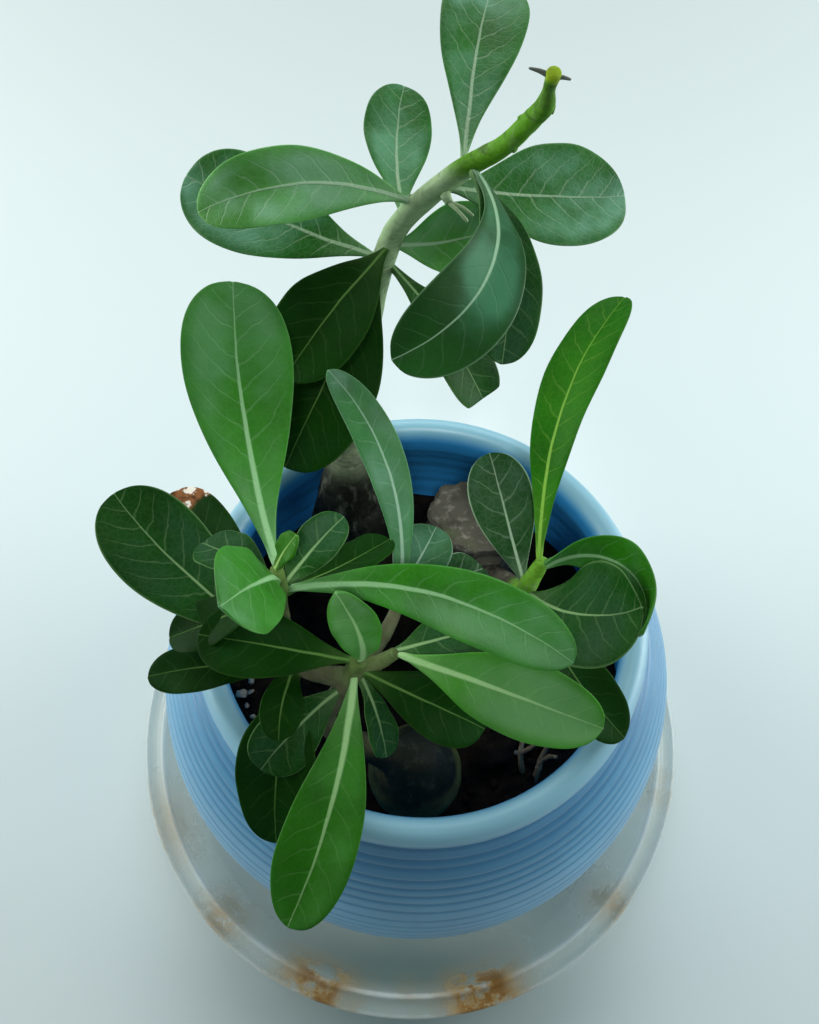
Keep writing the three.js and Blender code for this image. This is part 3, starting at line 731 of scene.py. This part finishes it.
# ------------------------ soil
def soil_relief(x, y):
    """Height of the soil over its level, as humps and hollows."""
    return SOIL_RELIEF * (
        math.sin(0.31 * x + 1.3) * math.cos(0.27 * y)
        + 0.5 * math.sin(0.83 * x - 0.6 * y) * math.cos(0.7 * y + 0.4 * x)
    )


def add_crumb(bm, place, size, rng, fineness=1):
    """A lumpy crumb that lies in the soil."""
    lump = bmesh.ops.create_icosphere(bm, subdivisions=fineness, radius=1)["verts"]
    stretch = [size * rng.uniform(0.6, 1.25) for _ in range(3)]
    spin = Matrix.Rotation(rng.uniform(0, TURN), 4, Vector((rng.random(), rng.random(), 1)).normalized())
    for vert in lump:
        vert.co *= 1 + 0.45 * noise.noise(vert.co * 1.7 + place)
        vert.co = spin @ Vector(c * s for c, s in zip(vert.co, stretch)) + place


# Where the large clods and the pale chips lie, and their size.
CLODS = [(23, -25, 6.0), (-14, -20, 3.2), (33, 10, 3.5), (4, 6, 2.6)]
CHIPS = [
    (-52, -12, 2.0), (-50, -8, 1.4), (-54, -6, 1.2), (-50.6, -15.1, 1.3), (-48.4, -18.3, 1.0),
    (-49.5, -11.8, 1.1), (-46.2, -21.6, 0.8), (30.7, -24.9, 0.9), (24.2, -21.6, 0.7), (39.4, -14, 0.8),
    (-32.1, -31.3, 0.8), (44.8, 20.7, 1.0), (-8.3, 16.3, 0.9),
]


class PLANT_OT_soil(bpy.types.Operator):
    """Fill the pot with soil and strew crumbs and pale bits on it"""

    bl_idname = "desert_rose.soil"
    bl_label = "Soil"

    def execute(self, context):
        look = context.scene.rose_soil
        rng = random.Random(look.seed)
        reach = inner_radius(SOIL_TOP) - 0.3
        bm = bmesh.new()

        def place(u, v):
            angle, r = u * TURN, v * reach
            x, y = r * math.cos(angle), r * math.sin(angle)
            fine = noise.fractal(Vector((x, y, 4)) * 0.35, 0.8, 2.1, 4)
            return Vector((x, y, SOIL_TOP + soil_relief(x, y) + fine * 0.9 * smooth((reach - r) / 3)))

        top = wrapped_grid(bm, 132, 46, place)
        bmesh.ops.remove_doubles(bm, verts=top, dist=1e-4)
        wall = [e for e in bm.edges if e.is_boundary]
        for z in (SOIL_TOP - 1, *SOIL_BENDS, POT_FLOOR + 3):
            wall = self.next_ring(bm, wall, inner_radius(z) - 0.6, z)
        wall = self.next_ring(bm, wall, FOOT_RADIUS - 7, POT_FLOOR + 0.3)
        bmesh.ops.holes_fill(bm, edges=wall, sides=0)
        bmesh.ops.recalc_face_normals(bm, faces=bm.faces)
        for _ in range(look.crumbs):
            r, angle = (reach - 3) * math.sqrt(rng.random()), rng.uniform(0, TURN)
            x, y = r * math.cos(angle), r * math.sin(angle)
            size = look.crumb_size / MM * rng.choice((0.4, 0.5, 0.6, 0.8, 1.2))
            add_crumb(bm, Vector((x, y, SOIL_TOP + soil_relief(x, y) + size * 0.35)), size, rng)
        for x, y, size in CLODS:
            add_crumb(bm, Vector((x, y, SOIL_TOP + size * 0.3)), size, rng, 3)
        finished("soil_crumbly", bm, soil_finish(), ["soil"])
        chips = bmesh.new()
        for x, y, size in CHIPS:
            add_crumb(chips, Vector((x, y, SOIL_TOP + soil_relief(x, y) + size)), size, rng)
        finished("soil_chips", chips, chip_finish(), [])
        return {"FINISHED"}

    @staticmethod
    def next_ring(bm, edges, radius, z):
        """Extrudes the open edge of the soil to another radius and height, and returns the new open edge."""
        grown = bmesh.ops.extrude_edge_only(bm, edges=edges)["geom"]
        for vert in (g for g in grown if isinstance(g, bmesh.types.BMVert)):
            flat = Vector((vert.co.x, vert.co.y, 0)).normalized() * radius
            vert.co = Vector((flat.x, flat.y, z))
        return [g for g in grown if isinstance(g, bmesh.types.BMEdge)]


# ------------------------ stems
# Stations of x, y, z and radius along each stem, from the soil to the tip.
TALL_TRUNK = [
    (-18, 36, 62, 14), (-18.3, 36.5, 84, 16.3), (-19, 37, 97, 16), (-20.5, 37.3, 107, 13.6),
    (-22.3, 37.5, 116, 9.3), (-22.3, 38.5, 127, 7), (-21.5, 46.5, 141, 4.8), (-18, 60, 162, 3.4),
    (-13.6, 71, 179, 3), (-10, 74, 187, 2.8), (3.5, 78, 200, 2.6), (12.3, 76.8, 208.3, 2.3),
    (17.5, 72.8, 219.3, 2.2), (19.2, 70.5, 224.3, 2.1), (19.3, 69.4, 229.2, 1.3), (19.5, 67.8, 233.8, 1.6),
]
TALL_STUBS = [
    [(-6.4, 75.6, 191.4, 1.2), (-8.2, 77.5, 192.6, 0.8)],
    [(0.1, 74.9, 196, 1.5), (1.4, 72.9, 195, 1)],
    [(13.6, 75.9, 210, 1.1), (15.2, 74.3, 209.5, 0.8)],
    [(16, 73.6, 217, 1.2), (14.9, 74.5, 218.6, 0.8)],
    [(19.4, 70.8, 223.6, 1.3), (21.4, 70.4, 223.4, 1)],
]
TIP_BRACTS = [
    [(19.3, 68.3, 232.3, 0.7), (17, 68.7, 233.2, 0.55), (14.4, 68.6, 233.9, 0.25)],
    [(19.3, 68.3, 232.3, 0.7), (21.2, 67.8, 232.8, 0.5), (22.9, 66.9, 233, 0.25)],
]
OLD_STALKS = [
    [(1, 73.2, 195.2, 0.6), (3.5, 71, 194.6, 0.5), (6, 69, 193.2, 0.45)],
    [(1, 73.2, 195.2, 0.6), (4.5, 71.8, 195, 0.45), (7.3, 70.3, 193.8, 0.35)],
]
FRONT_TRUNK = [
    (0, -36, 66, 7), (0, -37, 84, 8.5), (0.2, -38, 96, 11.6), (0.2, -38.5, 106, 12.3), (-1, -38, 115.5, 8.5),
    (-8, -37.5, 121.5, 4.2), (-17, -36, 126, 3), (-22, -33, 131, 2.5), (-19.5, -29.5, 139, 2.4),
    (-16, -27, 147, 2.5), (-14, -25, 153, 2),
]
FRONT_FORKS = [
    [(-16, -27, 147, 2.4), (-22, -26, 144.5, 2.3), (-28, -24, 145, 2.3), (-32.5, -16, 147, 2.2),
     (-33.5, -11.5, 153, 2), (-32, -13.5, 163, 1.9), (-31, -16, 171, 1.8), (-31, -15, 178, 1.4)],
    [(-15, -26, 149, 2), (-10, -24, 149, 1.9), (-6, -23, 153, 1.4)],
    [(-15, -26, 148, 2), (-9, -16, 145.5, 1.8), (-6, -9, 147, 1.5)],
]
STUMP = [
    (14.5, 31, 62, 12), (14.5, 31, 95, 14), (14.5, 31.5, 108, 13.8), (14.6, 32, 116, 13.2),
    (14.7, 32.3, 118.2, 12.4),
]
RIGHT_SHOOT = [
    (17, 24, 100, 4.5), (22, 16, 110, 3.4), (25.5, 8, 122, 2.8), (26, 2, 134, 2.5), (25.5, -0.5, 144, 2.4),
    (28, 2, 153, 1.6),
]
DRY_ROOTS = [
    [(33.4, -31.2, 72, 1), (31.9, -29.8, 79, 0.9), (31.2, -26.8, 82, 0.8), (31.4, -23.8, 85, 0.6)],
    [(36, -33.9, 72, 1), (36.5, -30.8, 80, 0.9), (37.1, -28.4, 82, 0.9), (39, -24.3, 86, 0.6)],
    [(31.4, -26.5, 82.5, 0.7), (33.6, -25.6, 84.5, 0.6), (35.6, -24.4, 86, 0.5)],
    [(36.8, -28.6, 82, 0.7), (39.5, -27.6, 84.2, 0.6), (41.4, -28, 85.4, 0.5)],
]


# The barks' colours: at the soil, then above each band of heights in millimetres.
TALL_ZONES = [
    "#6e4a24", (88, 98, "#4e4426"), (101, 110, "#14180f"), (126, 144, "#8f9f7c"), (150, 175, "#a2c090"),
    (199, 203, "#5c981c"), (229.5, 232, "#9cbc22"),
]
FRONT_ZONES = ["#454d2b", (108, 114, "#0e1812"), (124, 130, "#5f6448"), (146, 156, "#5f7d3c")]
RIGHT_ZONES = ["#463c30", (98, 110, "#504e43"), (120, 128, "#6eaa30")]


def knobbly(amount, scale, seed=0.0):
    """A swell for add_tube that makes bark uneven."""

    def swell(share, angle, point):
        return 1 + amount * noise.fractal(point * scale + Vector((seed, 0, 0)), 0.7, 2.0, 4)

    return swell


def scarred(amount, gap, seed=0.0):
    """A swell for add_tube with leaf scars: low rounded knobs that climb the stem in a spiral."""
    uneven = knobbly(0.05, 0.5, seed)

    def swell(share, angle, point):
        step = share * gap
        turn = (angle - 2.4 * math.floor(step)) % TURN - math.pi
        knob = math.exp(-((turn / 0.7) ** 2) - (((step % 1) - 0.5) / 0.16) ** 2)
        return uneven(share, angle, point) + amount * knob

    return swell


class PLANT_OT_stems(bpy.types.Operator):
    """Grow the three swollen stems with their shoots, stubs and dry roots"""

    bl_idname = "desert_rose.stems"
    bl_label = "Stems"

    def execute(self, context):
        tall_bark = bark_finish("bark_tall", TALL_ZONES, "#a4ab96", 0.2, wrinkles=0.5)
        bm = bmesh.new()
        add_tube(bm, TALL_TRUNK, 150, 28, scarred(0.05, 26))
        for stub in TALL_STUBS:
            add_tube(bm, stub, 6, 12, knobbly(0.2, 1.5))
        finished("stem_tall_bark", bm, tall_bark, ["stem_tall"], levels=1)
        bm = bmesh.new()
        for old in OLD_STALKS:
            add_tube(bm, old, 6, 8)
        stalk = bark_finish("pale_stalk", ["#a9c295"], "#c4d4b4", 0.3)
        finished("old_stalks", bm, stalk, [], levels=1)
        bm = bmesh.new()
        for bract in TIP_BRACTS:
            add_tube(bm, bract, 6, 8)
        dry = bark_finish("dry_bract", ["#7b8078"], "#9aa095", 0.3)
        finished("tip_bracts", bm, dry, [], levels=1)

        front_bark = bark_finish("bark_front", FRONT_ZONES, "#7c8a74", 0.12, wrinkles=0.3)
        bm = bmesh.new()
        add_tube(bm, FRONT_TRUNK, 110, 28, knobbly(0.05, 0.25, 4))
        for fork in FRONT_FORKS:
            add_tube(bm, fork, 16 * len(fork), 16, scarred(0.08, 3 * len(fork), 2))
        finished("stem_front_bark", bm, front_bark, ["stem_front"], levels=1)

        rough_cork = bark_finish("cork", RIGHT_ZONES, "#a39f93", 0.45, 300.0, 0.9, 0.3)
        bm = bmesh.new()
        add_tube(bm, STUMP, 60, 48, knobbly(0.16, 0.16, 9))
        add_tube(bm, RIGHT_SHOOT, 60, 18, scarred(0.06, 9, 5))
        finished("stem_right_cork", bm, rough_cork, ["stem_right"], levels=1)

        twig = bark_finish("dry_root", ["#7a6c58"], "#d2c7b1", 0.6)
        bm = bmesh.new()
        for root in DRY_ROOTS:
            add_tube(bm, root, 24, 12, knobbly(0.35, 0.9, 3))
        finished("dry_roots_bark", bm, twig, ["dry_roots"])
        return {"FINISHED"}


# ------------------------ leaves
# Each leaf starts on its stem. Then its heading from +X and its slope there, its length, by how much the
# slope falls and the heading turns along it, its width and the share of its length where it is widest, its
# tilt about its rib (right side up), how far each half is lifted, and its finish. Degrees and millimetres.
LEAVES = [
    ("tall_top", (4, 78, 201), 88, 27, 56, 27, -9, 22, 0.71, -12, 12, "mid"),
    ("tall_back", (-9, 74, 188), 105, 8, 40, -5, -24, 18, 0.64, -14, 12, "mid"),
    ("tall_left_upper", (-6, 76, 191), 188, 34, 54, 60, 6, 18, 0.62, 32, 10, "hazy"),
    ("tall_left_lower", (-14, 71, 178), 165, 4, 55, -4, -11, 25, 0.72, 30, 10, "mid"),
    ("tall_right", (-1, 77, 196), 5, -12, 48, -3, 13, 27, 0.62, -22, 10, "mid"),
    ("tall_inner", (-13, 72, 182), -3, 0, 29, -20, 18, 18, 0.61, -36, 12, "hazy"),
    ("tall_curled", (5, 78, 202), -54, 2, 64, 12, -103, 20, 0.71, 34, 16, "teal"),
    ("tall_curled_back", (5, 78, 202), -60, 3, 50, 45, -38, 17, 0.67, 20, 12, "deep"),
    ("tall_bitten", (-14, 71, 178), -41, -13, 46, 32, -10, 17.4, 0.74, 11, 12, "deep"),
    ("tall_shade", (-12, 72, 182), 241, 7, 45, 32, -6, 23, 0.67, 6, 14, "shaded"),
    ("tall_low", (-14, 71, 178), 251, -11, 59, 37, -16, 28, 0.61, 15, 12, "shaded"),
    ("left_upright", (-31, -15, 177), 111, 25, 63, 9, -15, 24, 0.72, -16, 10, "fresh"),
    ("left_near", (-31, -16, 174), 267, 73, 34, 32, -24, 18, 0.79, 40, 12, "fresh"),
    ("left_young", (-31, -15, 178), 27, 73, 12, 20, 0, 6, 0.7, 0, 14, "young"),
    ("left_long", (-31.5, -15, 167), 8, 18, 66, 30, -42, 16, 0.72, -39, 12, "fresh"),
    ("left_low", (-32, -13.5, 163), 199, -29, 31, 0, -9, 12.5, 0.68, -1, 12, "shaded"),
    ("left_wide", (-30, -22, 147.5), 155, 13, 57, 3, -23, 23, 0.7, 2, 10, "deep"),
    ("left_spotted", (-31, -19, 146), 134, 6, 53, 19, -8, 16, 0.71, 4, 12, "shaded"),
    ("left_tucked", (-32, -15, 166), 140, 5, 24, 34, 12, 13, 0.71, -14, 12, "deep"),
    ("left_inner", (-31, -16, 169), 50, 36, 21, 27, -3, 10, 0.65, -7, 12, "deep"),
    ("left_behind", (-32, -14, 163), 28, -8, 29, 1, 14, 14, 0.72, 32, 12, "shaded"),
    ("front_lance", (-6, -9, 147), 80, 51, 60, 25, 65, 10, 0.66, 13, 14, "misty"),
    ("front_inner", (-6, -9, 147), 67, 25, 21, 16, -4, 15, 0.67, 9, 12, "blue"),
    ("front_dusty", (-6, -10, 147), 35, -3, 26, 22, 0, 14, 0.7, 3, 12, "dusty"),
    ("front_under", (-29, -24, 146), 256, 24, 19, 40, 16, 10, 0.65, 13, 12, "shaded"),
    ("front_hanging", (-28, -25, 145), 253, -23, 41, 10, 23, 20, 0.52, -12, 12, "shaded"),
    ("front_left_low", (-29, -24, 146), 184, 3, 35, 20, 4, 12, 0.67, 4, 12, "shaded"),
    ("front_left", (-14, -25, 152), 177, 12, 37, 19, -6, 17, 0.7, 7, 12, "shaded"),
    ("front_long", (-15, -26, 150), 270, -6, 57, 20, -24, 18, 0.69, -5, 12, "grass"),
    ("front_right_low", (-15, -26, 150), -17, -17, 35, 15, 3, 16, 0.68, -15, 12, "shaded"),
    ("front_small", (-15, -26, 149), -51, -28, 24, 29, -26, 8, 0.71, 21, 12, "deep"),
    ("front_blue", (-17, -28, 144), 219, -2, 27.5, 26, 13, 15, 0.7, 25, 12, "deep"),
    ("front_rising", (-14, -25, 153), 143, 105, 32.5, 48, 1, 10.4, 0.67, 35, 16, "near"),
    ("front_right", (-6, -23, 153), -21, 14, 48, 17, 3, 19, 0.62, -41, 10, "near"),
    ("front_right_back", (-8, -22.5, 150.5), 16, 14, 26, 21, 0, 14, 0.69, 0, 12, "deep"),
    ("right_dusty", (25, -1, 142), 116, 43, 35, 18, -8, 16, 0.7, 10, 12, "dusty"),
    ("right_tall", (27, 1, 152), 97, 51, 70, 48, -45, 16, 0.72, 30, 14, "bright"),
    ("right_curled", (26, 0, 149), 30, 51, 47.5, 41, -152, 18, 0.65, -80, 12, "fresh"),
    ("right_broad", (25, -1, 142), -61, 35, 43, -32, 44, 25, 0.61, -27, 10, "deep"),
    ("right_low", (25, -1, 142), -63, -18, 43, -5, 20, 16, 0.7, 7, 12, "shaded"),
]


class Leaf:
    """The curved blade of one leaf: where a share of its length and width lies."""

    def __init__(self, name, at, turn, rise, long, droop, swing, wide, widest, roll, fold, finish):
        self.name, self.finish = name, finish
        self.turn, self.rise, self.droop, self.swing = turn, rise, droop, swing
        self.long, self.half, self.widest = long, wide / 2, widest
        self.roll, self.fold = math.radians(roll), math.radians(fold)
        self.share = BITTEN_SHARE if name == "tall_bitten" else 1.0
        self.rib = [Vector(at)]
        for i in range(LEAF_STEPS):
            ahead = self.directions((i + 0.5) / LEAF_STEPS)[0]
            self.rib.append(self.rib[i] + ahead * (long / LEAF_STEPS))

    def directions(self, t):
        """Along the rib, to the leaf's right side, and up from its face, at share t."""
        heading = math.radians(self.turn + self.swing * t)
        slope = math.radians(self.rise - self.droop * t)
        level = Vector((math.cos(heading), math.sin(heading), 0))
        ahead = level * math.cos(slope) + Vector((0, 0, math.sin(slope)))
        side = Vector((math.sin(heading), -math.cos(heading), 0))
        up = side.cross(ahead)
        right = side * math.cos(self.roll) + up * math.sin(self.roll)
        face = up * math.cos(self.roll) - side * math.sin(self.roll)
        return ahead, right, face

    def half_width(self, t):
        """Bare stalk, then a blade that widens to a round tip."""
        if t < self.widest:
            x = max(0.0, (t - STALK_END) / (self.widest - STALK_END))
            return STALK + (self.half - STALK) * math.sin(math.pi / 2 * x) ** 1.4
        y = min((t - self.widest) / (1 - self.widest), 1.0)
        return max(self.half * math.sqrt(1 - y**2.2), 0.12)

    def point(self, t, v, lift):
        """The point at share t of the length and v of the half width, over (+1) or under (-1) the blade."""
        step = min(t * LEAF_STEPS, LEAF_STEPS - 1e-6)
        whole = int(step)
        base = self.rib[whole].lerp(self.rib[whole + 1], step - whole)
        _, right, face = self.directions(t)
        root = 0.45 + 0.55 * smooth(t / 0.03)
        width = self.half_width(t) * root
        # The halves are lifted as a V with a rounded bottom, and the edge waves.
        spread = math.sqrt(v * v + 0.012) - 0.11
        other_half = 3 if v > 0 else 0
        wave = 0.35 * math.sin(11 * t + self.turn) + 0.22 * math.sin(23 * t + 2 * self.turn + other_half)
        wave *= v * v * smooth(4 * t)
        stalk = STALK_DEPTH * (1 - smooth(t / 0.16))
        roundness = 2 + 5 * smooth(t / 0.2)
        edge = math.sqrt(max(0.0, 1 - abs(v) ** roundness))
        hump = math.exp(-((v * width / 0.9) ** 2))
        if lift > 0:
            rise = (BLADE + stalk * 0.5) / 2 * edge * root + 0.12 * hump * (1 - t)
        else:
            rise = -((BLADE + stalk) / 2 * edge + RIB * (1 - 0.8 * t) * hump * edge) * root
        out = v * width * math.cos(self.fold)
        height = spread * width * math.sin(self.fold) + wave + rise
        return base + right * out + face * height


def leaf_mesh(leaf):
    """A closed leaf: a grid wrapped over its face and back under it, mapped in real sizes and in shares."""
    bm = bmesh.new()
    real = bm.loops.layers.uv.new("real")
    share = bm.loops.layers.uv.new("share")
    under = bm.faces.layers.float.new("under")
    verts = bmesh.ops.create_grid(bm, x_segments=LEAF_AROUND, y_segments=LEAF_ALONG, size=0.5)["verts"]

    def across(u):
        c = math.cos(u * TURN)
        return math.copysign(abs(c) ** 1.3, c)

    def along(y):
        return (1 - (0.5 - y) ** 1.25) * leaf.share

    for face in bm.faces:
        face[under] = 1.0 if face.calc_center_median().x > 0 else 0.0
        for loop in face.loops:
            v, t = across(loop.vert.co.x + 0.5), along(loop.vert.co.y)
            loop[real].uv = (0.5 + v * leaf.half_width(t) / REAL_MAP, t * leaf.long / REAL_MAP)
            loop[share].uv = (0.5 + v / 2, t)
    for vert in verts:
        u = vert.co.x + 0.5
        vert.co = leaf.point(along(vert.co.y), across(u), 1 if u <= 0.5 else -1)
    close_skin(bm, verts)
    return bm


class PLANT_OT_leaves(bpy.types.Operator):
    """Grow every leaf from its stem"""

    bl_idname = "desert_rose.leaves"
    bl_label = "Leaves"

    def execute(self, context):
        look = context.scene.rose_leaf
        finishes = {name: leaf_finish(name, look) for name in LEAF_FINISHES}
        finishes["spotted"] = leaf_finish("shaded", look, dead_tip=True)
        for row in LEAVES:
            leaf = Leaf(*row)
            finish = finishes["spotted" if leaf.name == "left_spotted" else leaf.finish]
            finished("blade_" + leaf.name, leaf_mesh(leaf), finish, ["leaf_" + leaf.name], levels=1)
        return {"FINISHED"}


# ------------------------ stage
CAMERA_PLACE = (-4.42, -91.82, 348.43)  # millimetres
CAMERA_TILT, CAMERA_ROLL = 28.235, 2.773  # degrees
CAMERA_LENS = 32.05
SENSOR = 36.0
FLOOR_HALF = 6.0  # half the floor's side, in metres
# Painted shadow of the pot on the floor:
POT_SHADE = (0.18, 0.26, 0.26)  # how much of each colour the floor keeps before the pot


def aim(lamp, place, target):
    """Sets a lamp at a place and turns it to a target."""
    lamp.location = place
    lamp.rotation_euler = (Vector(target) - Vector(place)).to_track_quat("-Z", "Y").to_euler()
    bpy.context.scene.collection.objects.link(lamp)


def add_light(name, place, target, size, power, colour):
    light = bpy.data.lights.new(name, "AREA")
    light.shape = "DISK"
    light.size, light.energy, light.color = size, power, colour
    aim(bpy.data.objects.new(name, light), place, target)


class PLANT_OT_stage(bpy.types.Operator):
    """Set the floor, the soft lights and the camera"""

    bl_idname = "desert_rose.stage"
    bl_label = "Stage"

    def execute(self, context):
        look = context.scene.rose_stage
        bm = bmesh.new()
        bmesh.ops.create_grid(bm, x_segments=1, y_segments=1, size=FLOOR_HALF)
        mesh = bpy.data.meshes.new("floor")
        bm.to_mesh(mesh)
        bm.free()
        paint = Finish("floor")
        x, y, _ = paint.apart(paint.coords())
        # Painted shade: the floor is painted dimmer near the viewer and far behind, as light falloff, and
        # darkest right before the pot, as a painted shadow of the pot.
        nearer = paint.fade(y, -0.22, -0.03, 1.0, 0.0)
        farther = paint.fade(y, 0.12, 0.5, 0.0, 0.6)
        middle = paint.fade(paint.unsigned(x), 0.0, 0.1, 1.0, 0.0)
        pot_shadow_on_floor = paint.times(middle, paint.fade(y, -0.085, -0.045, 0.75, 0.0))
        pot_shadow_on_floor = paint.times(pot_shadow_on_floor, paint.fade(y, -0.17, -0.108, 0.0, 1.0))
        falloff_shade = paint.larger(nearer, farther)
        colour = paint.mix(falloff_shade, look.floor, tuple(c * 0.7 for c in look.floor))
        colour = paint.mix(pot_shadow_on_floor, colour, tuple(c * d for c, d in zip(look.floor, POT_SHADE)))
        mesh.materials.append(paint.close(colour, 0.9))
        floor = bpy.data.objects.new("floor", mesh)
        context.scene.collection.objects.link(floor)

        world = bpy.data.worlds.new("soft_sky")
        world.use_nodes = True
        sky = world.node_tree.nodes["Background"]
        sky.inputs["Color"].default_value = (*tint("#dcebee"), 1)
        sky.inputs["Strength"].default_value = look.sky
        context.scene.world = world
        add_light("window", (-0.1, 1.2, 1.2), (0, 0.05, 0.1), 1.4, look.key, (1.0, 1.0, 1.0))
        add_light("left_window", (-0.9, 0.25, 0.38), (0, 0, 0.1), 0.8, look.sides, (1.0, 1.0, 0.98))
        add_light("right_window", (0.9, 0.28, 0.38), (0, 0, 0.1), 0.8, look.sides, (0.97, 1.0, 1.0))

        beam = bpy.data.lights.new("fill", "SPOT")
        beam.energy, beam.shadow_soft_size = look.fill, 0.03
        beam.spot_size, beam.spot_blend = math.radians(16), 0.8
        aim(bpy.data.objects.new("fill", beam), (-0.004, -0.2, 0.55), (0, 0.03, 0.11))

        lens = bpy.data.cameras.new("camera")
        lens.lens, lens.sensor_width = CAMERA_LENS, SENSOR
        camera = bpy.data.objects.new("camera", lens)
        tilt = Matrix.Rotation(math.radians(CAMERA_TILT), 4, "X")
        roll = Matrix.Rotation(math.radians(CAMERA_ROLL), 4, "Z")
        camera.matrix_world = Matrix.Translation(Vector(CAMERA_PLACE) * MM) @ tilt @ roll
        context.scene.collection.objects.link(camera)
        context.scene.camera = camera
        context.scene.view_settings.view_transform = "Standard"
        return {"FINISHED"}


# ------------------------ add-on
OPERATORS = (PLANT_OT_stage, PLANT_OT_pot, PLANT_OT_saucer, PLANT_OT_soil, PLANT_OT_stems, PLANT_OT_leaves)
SETTINGS = {
    "rose_pot": PotSettings,
    "rose_soil": SoilSettings,
    "rose_leaf": LeafSettings,
    "rose_stage": StageSettings,
}


class PLANT_PT_desert_rose(bpy.types.Panel):
    bl_label = "Desert Rose"
    bl_space_type = "VIEW_3D"
    bl_region_type = "UI"
    bl_category = "Desert Rose"

    def draw(self, context):
        for key, group in SETTINGS.items():
            box = self.layout.box()
            for name in group.__annotations__:
                box.prop(getattr(context.scene, key), name)
        for operator in OPERATORS:
            self.layout.operator(operator.bl_idname)


def register():
    for group in (*SETTINGS.values(), *OPERATORS, PLANT_PT_desert_rose):
        bpy.utils.register_class(group)
    for key, group in SETTINGS.items():
        setattr(bpy.types.Scene, key, bpy.props.PointerProperty(type=group))


def unregister():
    for key in SETTINGS:
        delattr(bpy.types.Scene, key)
    for group in (PLANT_PT_desert_rose, *OPERATORS, *reversed(SETTINGS.values())):
        bpy.utils.unregister_class(group)


def main():
    register()
    bpy.ops.desert_rose.stage()
    bpy.ops.desert_rose.pot()
    bpy.ops.desert_rose.saucer()
    bpy.ops.desert_rose.soil()
    bpy.ops.desert_rose.stems()
    bpy.ops.desert_rose.leaves()


if __name__ == "__main__":
    main()
